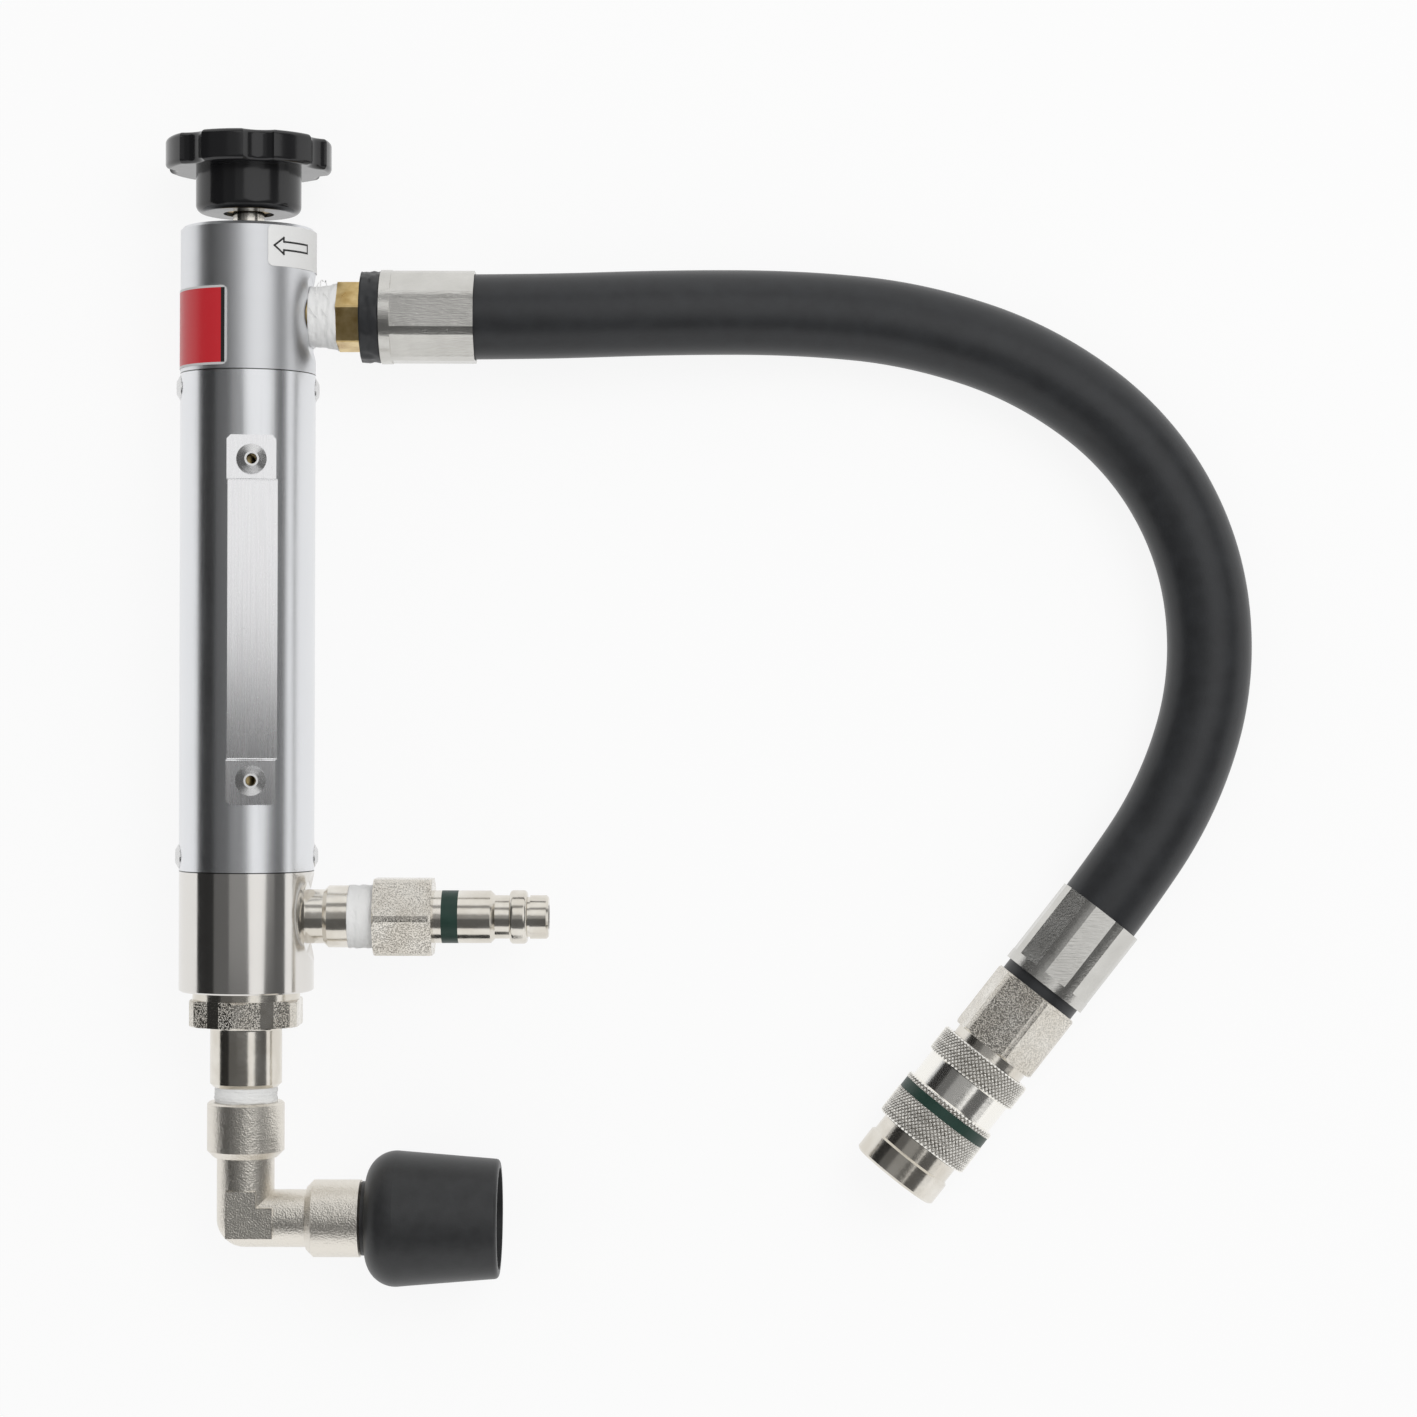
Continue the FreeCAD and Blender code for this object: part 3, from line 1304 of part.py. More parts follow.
# Hexagon with a collar inside the sleeve, a female thread and the second barb
thread_end = "barrel_end + coupling_thread_length + screw_gap"
hex_low = "barrel_end + collar_length"
hex_high = f"{hex_low} + coupling_hex_length"
coupling_tail = turned("coupling_tail", [
    ("barb_bore / 2", thread_end),
    ("coupling_thread_d / 2 + screw_gap", thread_end),
    ("coupling_thread_d / 2 + screw_gap", "barrel_end + skin_gap"),
    ("collar_d / 2", "barrel_end + skin_gap"),
    ("collar_d / 2", hex_low),
    ("coupling_hex_bar_d / 2", hex_low),
    ("coupling_hex_bar_d / 2", hex_high),
] + barbed(hex_high), coupling)
chamfered(coupling_tail, "coupling_hex_edges", "knurl_edge",
          [("coupling_hex_bar_d / 2", hex_low), ("coupling_hex_bar_d / 2", hex_high)])
milled(coupling_tail, "coupling_hex", "coupling_hex_across", "coupling_hex_bar_d",
       hex_low, hex_high, HEXAGON, "coupling_hex_turn")
ferrule_outer = ferrule("ferrule_outer", "ferrule_outer_d",
                        f"{hex_high} + ferrule_outer_start", coupling)

# Springs of the coupling
sleeve_spring = spring("sleeve_spring", "sleeve_wire",
                       "((barrel_d + collar_d) / 2 + slide_gap)",
                       f"{sleeve_land_high} + spring_gap", "barrel_end - spring_gap",
                       "sleeve_spring_turns", coupling)
poppet_spring = spring("poppet_spring", "poppet_wire", "poppet_spring_d",
                       f"{poppet_face} + poppet_head + spring_gap", f"{thread_end} - spring_gap",
                       "poppet_spring_turns", coupling)

# Hose: its route is chosen by hand, from its end on the outlet barb to the coupling's barb,
# and it leaves both in a straight lead
EXIT_LEAD = 34.5
COUPLING_LEAD = 28
ARC_SHARE = 0.45
hose_start = FreeCAD.Vector(value(hose_low), value(outlet_station), 0)
coupling_end = coupling.multVec(FreeCAD.Vector(0, 0, value(f"{hex_high} + skin_gap")))
coupling_lead = coupling.multVec(FreeCAD.Vector(0, 0, value(f"{hex_high} + {COUPLING_LEAD}")))
route = [
    hose_start,
    hose_start + FreeCAD.Vector(EXIT_LEAD, 0, 0),
    FreeCAD.Vector(95.5, 203.2, -3.4),
    FreeCAD.Vector(124.0, 203.6, -7.3),
    FreeCAD.Vector(150.0, 201.2, -8.6),
    FreeCAD.Vector(177.0, 192.3, -8.6),
    FreeCAD.Vector(200.5, 174.9, -8.6),
    FreeCAD.Vector(214.6, 150.0, -8.6),
    FreeCAD.Vector(217.4, 121.5, -8.6),
    FreeCAD.Vector(209.6, 95.0, -8.0),
    coupling_lead,
    coupling_end,
]


def hose_path(points):
    """Straight runs joined by tangent arcs, as one wire, and the arcs' radii."""
    edges, radii, start = [], [], points[0]
    for before, corner, after in zip(points, points[1:], points[2:]):
        inward = (before - corner).normalize()
        onward = (after - corner).normalize()
        turning = math.pi - inward.getAngle(onward)
        reach = ARC_SHARE * min((before - corner).Length, (after - corner).Length)
        radius = reach / math.tan(turning / 2)
        radii.append(radius)
        arc_start, arc_end = corner + inward * reach, corner + onward * reach
        to_middle = (inward + onward).normalize()
        depth = math.hypot(radius, reach) - radius
        edges.append(Part.LineSegment(start, arc_start).toShape())
        edges.append(Part.Arc(arc_start, corner + to_middle * depth, arc_end).toShape())
        start = arc_end
    edges.append(Part.LineSegment(start, points[-1]).toShape())
    return Part.Wire(edges), radii


path, arc_radii = hose_path(route)
hose_radius = value("hose_d / 2")
section = Part.Wire(Part.Circle(
    route[0], (route[1] - route[0]).normalize(), hose_radius).toShape())
solid_hose = path.makePipeShell([section], True, True)
expected = math.pi * hose_radius ** 2 * path.Length
print("hose radii", [round(r, 1) for r in arc_radii])
print("hose length", round(path.Length, 1), "volume ratio", round(solid_hose.Volume / expected, 4))


def barb_hole(foot_point, toward):
    """The widened bore that a barb fills at a hose's end."""
    depth = value("barb_start + barb_count * barb_pitch")
    radius = value("barb_d / 2 + hose_bore_slack / 2")
    direction = (toward - foot_point).normalize()
    start = foot_point - direction * CUT_OVER
    return Part.makeCylinder(radius, depth + CUT_OVER, start, direction)


hose = doc.addObject("Part::Feature", "hose")
hose.Shape = solid_hose.cut(
    [barb_hole(route[0], route[1]), barb_hole(route[-1], route[-2])])

# Where the finished part stands: the middle of its footprint and its lowest point, without
# the hose and what is on it
doc.recompute()
TOOL = [
    control_knob, knob_insert, valve_spindle, spindle_gland, spindle_o_ring, upper_body,
    arrow_label, red_label, outer_sleeve, sleeve_screws, belt_clip, clip_rivets, hot_tube,
    vortex_generator, generator_o_ring, tube_o_ring, lower_body, inlet_adapter, inlet_tape,
    supply_plug, plug_band, cold_end_cap, cold_end_tape, elbow, silencer, rubber_shroud,
    outlet_tape, hose_tail,
]
ON_HOSE = [
    ferrule_inner, hose, ferrule_outer, coupling_tail, coupling_body, coupling_sleeve,
    sleeve_band, sleeve_spring, locking_balls, valve_poppet, poppet_spring, plug_seal,
]
footprint = FreeCAD.BoundBox()
for piece in TOOL:
    footprint.add(piece.Shape.optimalBoundingBox(False, False))
shift = FreeCAD.Placement(
    FreeCAD.Vector(-footprint.Center.x, -footprint.Center.y, -footprint.ZMin),
    FreeCAD.Rotation())
print("shift", [round(c, 4) for c in shift.Base])
for piece in TOOL + ON_HOSE:
    piece.Placement = shift.multiply(piece.Placement)
doc.recompute()

for item in doc.Objects:
    if "Invalid" in item.State or "Error" in item.State:
        raise RuntimeError(f"{item.Name} failed: {item.State}")
os.makedirs("parts", exist_ok=True)
for piece in TOOL + ON_HOSE:
    if piece.Shape.isNull() or not piece.Shape.isValid():
        raise RuntimeError(f"{piece.Label} has no valid shape")
    piece.Shape.exportStep(os.path.join("parts", piece.Label + ".step"))
print(len(TOOL + ON_HOSE), "pieces")
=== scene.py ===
import json
import math
import random

import bpy
from mathutils import Matrix, Vector, noise


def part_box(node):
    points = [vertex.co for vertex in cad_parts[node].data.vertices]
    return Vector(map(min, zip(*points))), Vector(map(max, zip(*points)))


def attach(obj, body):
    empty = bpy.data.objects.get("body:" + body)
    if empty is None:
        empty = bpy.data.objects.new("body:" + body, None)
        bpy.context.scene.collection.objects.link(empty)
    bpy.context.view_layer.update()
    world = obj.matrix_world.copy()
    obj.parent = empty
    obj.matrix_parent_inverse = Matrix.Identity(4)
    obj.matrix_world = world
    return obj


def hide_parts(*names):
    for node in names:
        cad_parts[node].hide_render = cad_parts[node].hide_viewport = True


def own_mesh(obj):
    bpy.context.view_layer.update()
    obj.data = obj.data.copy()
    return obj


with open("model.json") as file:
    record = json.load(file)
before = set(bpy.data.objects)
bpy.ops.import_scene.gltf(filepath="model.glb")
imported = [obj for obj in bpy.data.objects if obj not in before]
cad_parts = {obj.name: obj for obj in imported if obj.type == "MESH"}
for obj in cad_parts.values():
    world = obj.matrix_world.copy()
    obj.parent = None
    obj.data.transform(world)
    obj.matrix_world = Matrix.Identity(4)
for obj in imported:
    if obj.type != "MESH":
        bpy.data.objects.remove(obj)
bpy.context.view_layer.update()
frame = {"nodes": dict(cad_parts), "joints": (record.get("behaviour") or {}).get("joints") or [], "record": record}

# Polished sleeve: a drawn aluminium tube, polished all over. Rubbing along the tube has left
# faint straight hairlines, handling has left patches that are a little duller, and at each cut
# end a thin dark band of painted shade stands for the shadow in its joint with the end bodies.


class Signal:
    """A socket in a node tree. Sums of signals add the Math nodes that work them out."""

    def __init__(self, nodes, socket):
        self.nodes, self.socket = nodes, socket

    def maths(self, operation, *terms):
        return self.nodes.node("ShaderNodeMath", {"operation": operation}, dict(enumerate(terms)))

    def __add__(self, other):
        return self.maths("ADD", self, other)

    def __radd__(self, other):
        return self.maths("ADD", other, self)

    def __sub__(self, other):
        return self.maths("SUBTRACT", self, other)

    def __rsub__(self, other):
        return self.maths("SUBTRACT", other, self)

    def __mul__(self, other):
        return self.maths("MULTIPLY", self, other)

    def __rmul__(self, other):
        return self.maths("MULTIPLY", other, self)

    def __gt__(self, other):
        return self.maths("GREATER_THAN", self, other)

    def __lt__(self, other):
        return self.maths("LESS_THAN", self, other)

    def greater(self, other):
        """The greater of two signals."""
        return self.maths("MAXIMUM", self, other)


class Nodes:
    """A node tree, and the one way to add a node to it."""

    def __init__(self, tree):
        self.tree = tree

    def node(self, kind, settings=None, inputs=None, output=0):
        """Adds a node: its settings first, then the values or links of its sockets."""
        made = self.tree.nodes.new(kind)
        for key, setting in (settings or {}).items():
            setattr(made, key, setting)
        for key, entry in (inputs or {}).items():
            if isinstance(entry, Signal):
                self.tree.links.new(entry.socket, made.inputs[key])
            else:
                made.inputs[key].default_value = entry
        return Signal(self, made.outputs[output])


class Finish(Nodes):
    """A surface finish: a Principled shader, and the nodes that vary it over a piece."""

    def __init__(self, name, colour, metallic=0.0, roughness=0.5, specular=0.5):
        self.material = bpy.data.materials.new(name)
        self.material.use_nodes = True
        super().__init__(self.material.node_tree)
        self.shader = self.tree.nodes["Principled BSDF"]
        self.shader.inputs["Base Color"].default_value = (*colour, 1)
        self.shader.inputs["Metallic"].default_value = metallic
        self.shader.inputs["Roughness"].default_value = roughness
        self.shader.inputs["Specular IOR Level"].default_value = specular
        self.place = self.node("ShaderNodeTexCoord", output="Object")

    def drive(self, socket, signal):
        self.tree.links.new(signal.socket, self.shader.inputs[socket])

    def along(self, axis):
        """The X, Y or Z of the place on the piece, in metres."""
        return self.node("ShaderNodeSeparateXYZ", None, {0: self.place}, output=axis)

    def grain(self, lumps, detail=3.0):
        """Noise with so many lumps a metre, the same all ways or along X, Y and Z."""
        stretch = lumps if isinstance(lumps, tuple) else (lumps, lumps, lumps)
        spread = self.node("ShaderNodeVectorMath", {"operation": "MULTIPLY"},
                           {0: self.place, 1: stretch})
        return self.node("ShaderNodeTexNoise", None,
                         {"Vector": spread, "Scale": 1.0, "Detail": detail})

    def ramp(self, signal, low, high):
        """A signal stretched so that low becomes 0 and high becomes 1."""
        return self.node("ShaderNodeMapRange", None, {0: signal, 1: low, 2: high})

    def colours(self, mask, first, second):
        """The first colour where the mask is 0, and the second where it is 1."""
        first = (*first, 1) if isinstance(first, tuple) else first
        return self.node("ShaderNodeMix", {"data_type": "RGBA"},
                         {0: mask, 6: first, 7: (*second, 1)}, output=2)

    def relief(self, height, depth):
        """A bump of that depth in metres."""
        self.drive("Normal", self.node("ShaderNodeBump", None,
                                       {"Strength": 1.0, "Distance": depth, "Height": height}))


def dress(finish, *names):
    """Gives CAD nodes a finish."""
    for name in names:
        for material_slot in frame["nodes"][name].material_slots:
            material_slot.material = finish.material


ALONG_TUBE = (1500, 25, 1500)
HANDLING = (60, 40, 60)
SEAM_SHADOW_WIDTH = 0.00025
ALUMINIUM, PAINTED_SEAM_SHADOW = (0.80, 0.81, 0.83), (0.12, 0.12, 0.12)

polished = Finish("polished aluminium", ALUMINIUM, metallic=1.0)
hairlines = polished.grain(ALONG_TUBE)
handled = polished.grain(HANDLING)
polished.drive("Roughness", 0.17 + 0.07 * hairlines + 0.09 * handled)
polished.relief(hairlines, 0.000004)
sleeve_low, sleeve_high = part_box("outer_sleeve")
sleeve_station = polished.along("Y")
# Painted shade: the base colour turns dark in a thin band at each end of the sleeve, for the shadow in the joints.
seam_shadow_mask = (sleeve_station > sleeve_high.y - SEAM_SHADOW_WIDTH) + (sleeve_station < sleeve_low.y + SEAM_SHADOW_WIDTH)
polished.drive("Base Color", polished.colours(seam_shadow_mask, ALUMINIUM, PAINTED_SEAM_SHADOW))
dress(polished, "outer_sleeve")

# Upper body: turned aluminium bar, satin anodised. The lathe's fine rings run round it, and
# the anodised layer scatters the light more than the polished sleeve does.
ROUND_TUBE = (40, 4200, 40)

anodised = Finish("anodised aluminium", (0.78, 0.79, 0.81), metallic=1.0)
rings = anodised.grain(ROUND_TUBE)
anodised.drive("Roughness", 0.30 + 0.10 * rings)
anodised.relief(rings, 0.000006)
dress(anodised, "upper_body")

# Lower body: turned brass with a bright nickel plate, the shiniest piece of the tool. Its
# bloom is a faint haze that fingers leave on plating.
bright = Finish("bright nickel", (0.76, 0.74, 0.71), metallic=1.0)
bloom = bright.grain(90, 4.0)
bright.drive("Roughness", 0.08 + 0.10 * bloom)
dress(bright, "lower_body")

# Adapter, spindle and coupling: nickel plated brass turned on a lathe, warmer in colour than
# the aluminium, with fine tool marks and small bright rubs.
PIT_GRAIN, PIT_DEPTH = 3000, 0.00008


class Nickel(Finish):
    """Satin nickel, which may be pitted further than a distance from a line."""

    def __init__(self, name, pitted=None):
        super().__init__(name, (0.74, 0.70, 0.63), metallic=1.0)
        tool_marks = self.grain(900)
        rubs = self.grain(160, 5.0)
        height, roughness = 0.000012 * tool_marks, 0.09 + 0.06 * tool_marks + 0.08 * rubs
        if pitted:
            point, axis, reach = pitted
            away = self.node("ShaderNodeVectorMath", {"operation": "SUBTRACT"},
                             {0: self.place, 1: point})
            across = self.node("ShaderNodeVectorMath", {"operation": "CROSS_PRODUCT"},
                               {0: away, 1: axis})
            distance = self.node("ShaderNodeVectorMath", {"operation": "LENGTH"},
                                 {0: across}, output="Value")
            pits = (distance > reach) * self.ramp(self.grain(PIT_GRAIN), 0.50, 0.70)
            height, roughness = height - PIT_DEPTH * pits, roughness + 0.12 * pits
        self.drive("Roughness", roughness)
        self.drive("Base Color", self.colours(self.ramp(rubs, 0.40, 0.72),
                                              (0.70, 0.66, 0.59), (0.82, 0.79, 0.73)))
        self.relief(height, 1.0)


satin = Nickel("satin nickel")
dress(satin, "inlet_adapter", "coupling_body", "valve_spindle")

# Cold end cap, supply plug and coupling tail: the same nickel, but their hexagons are cut
# from forged bar, and its pitted skin shows on the flats.
AXIS_X, AXIS_Z = -0.02471, 0.0184

mounts = {mount["name"]: mount for mount in frame["record"]["mounts"]}
plug_point = mounts["supply_plug"]["pos_m"]
socket_point = mounts["warm_air_socket"]["pos_m"]
socket_axis = mounts["warm_air_socket"]["axis"]
CAP_REACH, PLUG_REACH, TAIL_REACH = 0.0121, 0.0070, 0.00945

dress(Nickel("forged cap nickel", ((AXIS_X, 0, AXIS_Z), (0, 1, 0), CAP_REACH)), "cold_end_cap")
dress(Nickel("forged plug nickel", (plug_point, (1, 0, 0), PLUG_REACH)), "supply_plug")
dress(Nickel("forged tail nickel", (socket_point, socket_axis, TAIL_REACH)), "coupling_tail")

# Elbow: cast brass under nickel. The sand's grain shows through the plate as a fine orange
# peel, coarser than any tool mark.
cast = Finish("cast nickel", (0.82, 0.78, 0.71), metallic=1.0)
sand = cast.grain(2600, 2.0)
lumps = cast.grain(600, 2.0)
cast.drive("Roughness", 0.24 + 0.14 * sand)
cast.relief(sand + 0.6 * lumps, 0.00013)
dress(cast, "elbow")

# Screws, rivets, springs and locking balls: small steel pieces with a slightly uneven plate.
# The screws hold the sleeve on the end bodies, and the rivets hold the clip on the sleeve.
plated = Finish("plated steel", (0.74, 0.74, 0.74), metallic=1.0)
plating = plated.grain(1400)
plated.drive("Roughness", 0.20 + 0.14 * plating)
dress(plated, "sleeve_screws", "clip_rivets", "sleeve_spring", "poppet_spring", "locking_balls")

# Belt clip: a strip of bright stainless sheet, brushed along its length by the mill. Use has
# bowed it a little, so its shine fades towards its ends, and has left a few fine scratches.
BOW, BOW_SHIFT = 1.9, 0.006

clip_finish = Finish("brushed stainless", (0.82, 0.82, 0.83), metallic=1.0)
drawn = clip_finish.grain((2600, 30, 2600))
fine_scratch = clip_finish.ramp(clip_finish.grain((420, 2400, 420)), 0.66, 0.80)
clip_low, clip_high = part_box("belt_clip")
from_middle = clip_finish.along("Y") - (clip_low.y + clip_high.y) / 2 - BOW_SHIFT
clip_finish.drive("Roughness", 0.20 + 0.14 * drawn + 0.10 * fine_scratch)
clip_finish.relief(0.000004 * drawn - BOW * from_middle * from_middle, 1.0)
dress(clip_finish, "belt_clip")

# Ferrules: steel sleeves crimped onto the hose, darker than the nickel, brushed by the dies.
crimped = Finish("crimped steel", (0.66, 0.65, 0.62), metallic=1.0)
die_marks = crimped.grain((500, 2600, 2600))
stain = crimped.grain(150, 4.0)
crimped.drive("Roughness", 0.14 + 0.10 * die_marks + 0.10 * stain)
crimped.drive("Base Color", crimped.colours(stain, (0.52, 0.51, 0.48), (0.76, 0.75, 0.72)))
crimped.relief(die_marks, 0.00003)
dress(crimped, "ferrule_inner", "ferrule_outer")

# Brass pieces: the hose tail's hexagon shows between tape and hose, and the gland, insert,
# hot tube and poppet are inside. The brass has dulled unevenly.
brass = Finish("plain brass", (0.68, 0.50, 0.22), metallic=1.0)
tarnish = brass.grain(260, 4.0)
brass.drive("Base Color", brass.colours(brass.ramp(tarnish, 0.35, 0.65),
                                        (0.50, 0.34, 0.13), (0.76, 0.59, 0.30)))
brass.drive("Roughness", 0.22 + 0.16 * tarnish)
dress(brass, "hose_tail", "spindle_gland", "knob_insert", "hot_tube", "valve_poppet")

# Silencer: bronze beads sintered into a porous cup. It sits in the rubber shroud and is seen
# only through the shroud's mouth.
bronze = Finish("sintered bronze", (0.42, 0.29, 0.14), metallic=0.8)
beads = bronze.node("ShaderNodeTexVoronoi", None, {"Vector": bronze.place, "Scale": 2200.0})
bronze.drive("Roughness", 0.45 + 0.25 * beads)
bronze.relief(1 - beads, 0.0002)
dress(bronze, "silencer")

# Vortex generator: one nylon moulding, sealed between the cap and the lower body. Nothing of
# it is seen from outside.
nylon = Finish("moulded nylon", (0.75, 0.74, 0.70), specular=0.4)
nylon.drive("Roughness", 0.42 + 0.16 * nylon.grain(800))
dress(nylon, "vortex_generator")

# Seals: nitrile rings, moulded smooth and a little shiny. They sit in grooves round the
# spindle, the generator and the hot tube, and in the coupling.
nitrile = Finish("nitrile rubber", (0.020, 0.020, 0.021))
nitrile.drive("Roughness", 0.40 + 0.20 * nitrile.grain(900))
dress(nitrile, "spindle_o_ring", "generator_o_ring", "tube_o_ring", "plug_seal")

# Control knob: black phenolic, moulded round its metal insert and buffed. Hands have dulled
# its gloss in patches.
phenolic = Finish("black phenolic", (0.011, 0.011, 0.012), specular=0.55)
handling = phenolic.grain(170, 4.0)
phenolic.drive("Roughness", 0.10 + 0.12 * handling)
phenolic.relief(phenolic.grain(380), 0.000015)
dress(phenolic, "control_knob")

# Rubber shroud: a soft moulded cap, matt, with the faint mottling of rubber that has been
# powdered and handled.
shroud_rubber = Finish("moulded rubber", (0.022, 0.023, 0.024), specular=0.42)
powder = shroud_rubber.grain(300, 5.0)
pores = shroud_rubber.grain(2600, 2.0)
shroud_rubber.drive("Base Color", shroud_rubber.colours(
    shroud_rubber.ramp(powder, 0.30, 0.80), (0.024, 0.025, 0.026), (0.036, 0.037, 0.039)))
shroud_rubber.drive("Roughness", 0.36 + 0.10 * powder)
shroud_rubber.relief(pores, 0.00002)
dress(shroud_rubber, "rubber_shroud")

# Colour bands: green plastic rings snapped into the plug and the coupling sleeve. Wear has
# paled them in patches.
green = Finish("green plastic", (0.012, 0.060, 0.040), specular=0.45)
worn = green.grain(300, 4.0)
green.drive("Base Color", green.colours(worn, (0.009, 0.032, 0.023), (0.016, 0.056, 0.041)))
green.drive("Roughness", 0.36 + 0.14 * worn)
dress(green, "plug_band", "sleeve_band")

# Arrow label: white foil wrapped round the upper body, with an outlined arrow that points
# the way the knob closes. The arrow is ink a few hundredths of a millimetre thick.
LABEL_RADIUS = 0.01517
INK = 0.00005

foil = Finish("white foil", (0.86, 0.86, 0.85), specular=0.5)
foil.drive("Roughness", 0.34 + 0.10 * foil.grain(700))
dress(foil, "arrow_label")

black_ink = Finish("black ink", (0.015, 0.015, 0.015))
black_ink.drive("Roughness", 0.50 + 0.12 * black_ink.grain(1500))


def new_piece(name, corners, faces, finish, body, smooth=True):
    """A mesh object with a finish, riding on a body."""
    mesh = bpy.data.meshes.new(name)
    mesh.from_pydata(corners, [], faces)
    mesh.update()
    mesh.polygons.foreach_set("use_smooth", [smooth] * len(mesh.polygons))
    mesh.materials.append(finish.material)
    piece = bpy.data.objects.new(name, mesh)
    bpy.context.scene.collection.objects.link(piece)
    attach(piece, body)
    return piece


def on_tube(arc, station, radius):
    """A point wrapped on the tube: arc is metres round from its top towards +X."""
    angle = arc / LABEL_RADIUS
    return (AXIS_X + radius * math.sin(angle), station, AXIS_Z + radius * math.cos(angle))


INK_STEP = 0.0004


def ink_line(start, end, width):
    """Pairs of (arc, station) down both sides of a stroke, close enough to follow the tube."""
    start, end = Vector(start), Vector(end)
    run = (end - start).normalized() * width / 2
    side = Vector((-run.y, run.x))
    start, end = start - run, end + run
    steps = math.ceil((end - start).length / INK_STEP)
    spots = [start.lerp(end, step / steps) for step in range(steps + 1)]
    return [(spot - side, spot + side) for spot in spots]


label_low, label_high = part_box("arrow_label")
arrow_middle = (label_low.y + label_high.y) / 2
ARROW_TIP, ARROW_NECK, ARROW_TAIL = 0.0078, 0.0101, 0.0174
ARROW_HEAD, ARROW_SHAFT, STROKE = 0.0018, 0.0009, 0.00040
arrow_outline = [
    (ARROW_TIP, 0), (ARROW_NECK, ARROW_HEAD), (ARROW_NECK, ARROW_SHAFT), (ARROW_TAIL, ARROW_SHAFT),
    (ARROW_TAIL, -ARROW_SHAFT), (ARROW_NECK, -ARROW_SHAFT), (ARROW_NECK, -ARROW_HEAD),
]
arrow_corners, arrow_faces = [], []
for start, end in zip(arrow_outline, arrow_outline[1:] + arrow_outline[:1]):
    rungs = ink_line(start, end, STROKE)
    for number, rung in enumerate(rungs):
        if number:
            left, right = len(arrow_corners) - 2, len(arrow_corners) - 1
            arrow_faces.append((left, left + 2, right + 2, right))
        arrow_corners += [on_tube(arc, arrow_middle + rise, LABEL_RADIUS + INK)
                          for arc, rise in rung]
new_piece("arrow_print", arrow_corners, arrow_faces, black_ink, "root")

# Red label: red foil on the other side of the upper body, with a silver border and a black
# band along its edge. It carries no words.
BORDER = 0.0005
BAND_EDGE, BORDER_EDGE = math.radians(-15.5), math.radians(-12.2)
RED, BAND_BLACK, SILVER = (0.60, 0.018, 0.028), (0.02, 0.02, 0.02), (0.60, 0.60, 0.60)

red = Finish("red foil", RED, specular=0.5)
red_low, red_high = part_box("red_label")
red_station = red.along("Y")
red_angle = red.node("ShaderNodeMath", {"operation": "ARCTAN2"},
                     {0: red.along("X") - AXIS_X, 1: red.along("Z") - AXIS_Z})
at_rim = (red_station > red_high.y - BORDER).greater(red_station < red_low.y + BORDER)
banded = red.colours(red_angle > BAND_EDGE, RED, BAND_BLACK)
bordered = red.colours(red_angle > BORDER_EDGE, banded, SILVER)
red.drive("Base Color", red.colours(at_rim, bordered, SILVER))
red.drive("Roughness", 0.26 + 0.10 * red.grain(700))
dress(red, "red_label")

# Sealing tape: white plastic film wound round each thread by hand. The turns overlap on a
# slant, their edges ruck up, and loose shreds stand out at the outlet.
film = Finish("sealing tape", (0.93, 0.93, 0.92), specular=0.35)
fibres = film.grain(2400, 4.0)
film.drive("Roughness", 0.52 + 0.16 * fibres)
film.relief(fibres, 0.00006)


def pipe_frame(origin, axis):
    """A frame at origin whose Z runs along axis."""
    onward = Vector(axis).normalized()
    across = onward.orthogonal().normalized()
    turn = Matrix((across, onward.cross(across), onward)).transposed()
    return Matrix.Translation(Vector(origin)) @ turn.to_4x4()


def lathed(frame_matrix, section, around, radius_at=None):
    """Corners and faces of a closed section of (radius, station) turned round a frame's Z."""
    corners, faces = [], []
    count = len(section)
    for step in range(around):
        angle = 2 * math.pi * step / around
        for radius, station in section:
            if radius_at:
                radius = radius_at(radius, station, angle)
            corners.append(frame_matrix @ Vector(
                (radius * math.cos(angle), radius * math.sin(angle), station)))
    for step in range(around):
        here, there = step * count, (step + 1) % around * count
        for index in range(count):
            after = (index + 1) % count
            faces.append((here + index, there + index, there + after, here + after))
    return corners, faces


TAPE_RUCK = 0.00030
TAPE_WIDTH = 0.0024
TAPE_STEPS, TAPE_AROUND = 22, 140
WRINKLES, FINE_WRINKLES = (3, 1800), (9, 5000)


def wrinkle(angle, station, lumps):
    """Noise from -1 to 1 on a pipe, with lumps given round it and for each metre along it."""
    around, along = lumps
    return noise.noise(Vector((math.cos(angle) * around, math.sin(angle) * around,
                               station * along)))


def wound_tape(node, along, wall=0.0004, flare=0.0):
    """Replaces a tape node with wound film between the same two shoulders."""
    low, high = (Vector(corner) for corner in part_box(node))
    middle = (low + high) / 2
    length = high[along] - low[along]
    axis = Vector([1 if index == along else 0 for index in range(3)])
    outer = (high[2] - low[2]) / 2
    core = outer - wall
    start = middle - axis * length / 2
    stations = [length * step / TAPE_STEPS for step in range(TAPE_STEPS + 1)]
    section = [(outer, station) for station in stations]
    section += [(core, station) for station in reversed(stations)]

    def ruck(radius, station, angle):
        if radius < outer:
            return radius
        winding = (station / TAPE_WIDTH + angle / (2 * math.pi)) % 1
        coarse = wrinkle(angle, station, WRINKLES)
        fine = wrinkle(angle, station, FINE_WRINKLES)
        lift = flare * (station / length) ** 2
        return radius + lift - TAPE_RUCK * (0.55 * winding + 0.5 * coarse + 0.35 * fine)

    corners, faces = lathed(pipe_frame(start, axis), section, TAPE_AROUND, ruck)
    tape = new_piece(node + "_film", corners, faces, film, "root")
    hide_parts(node)
    return start, axis, outer


wound_tape("cold_end_tape", 1, wall=0.0008)
wound_tape("inlet_tape", 0)
tape_start, tape_axis, tape_radius = wound_tape("outlet_tape", 0, flare=0.0008)

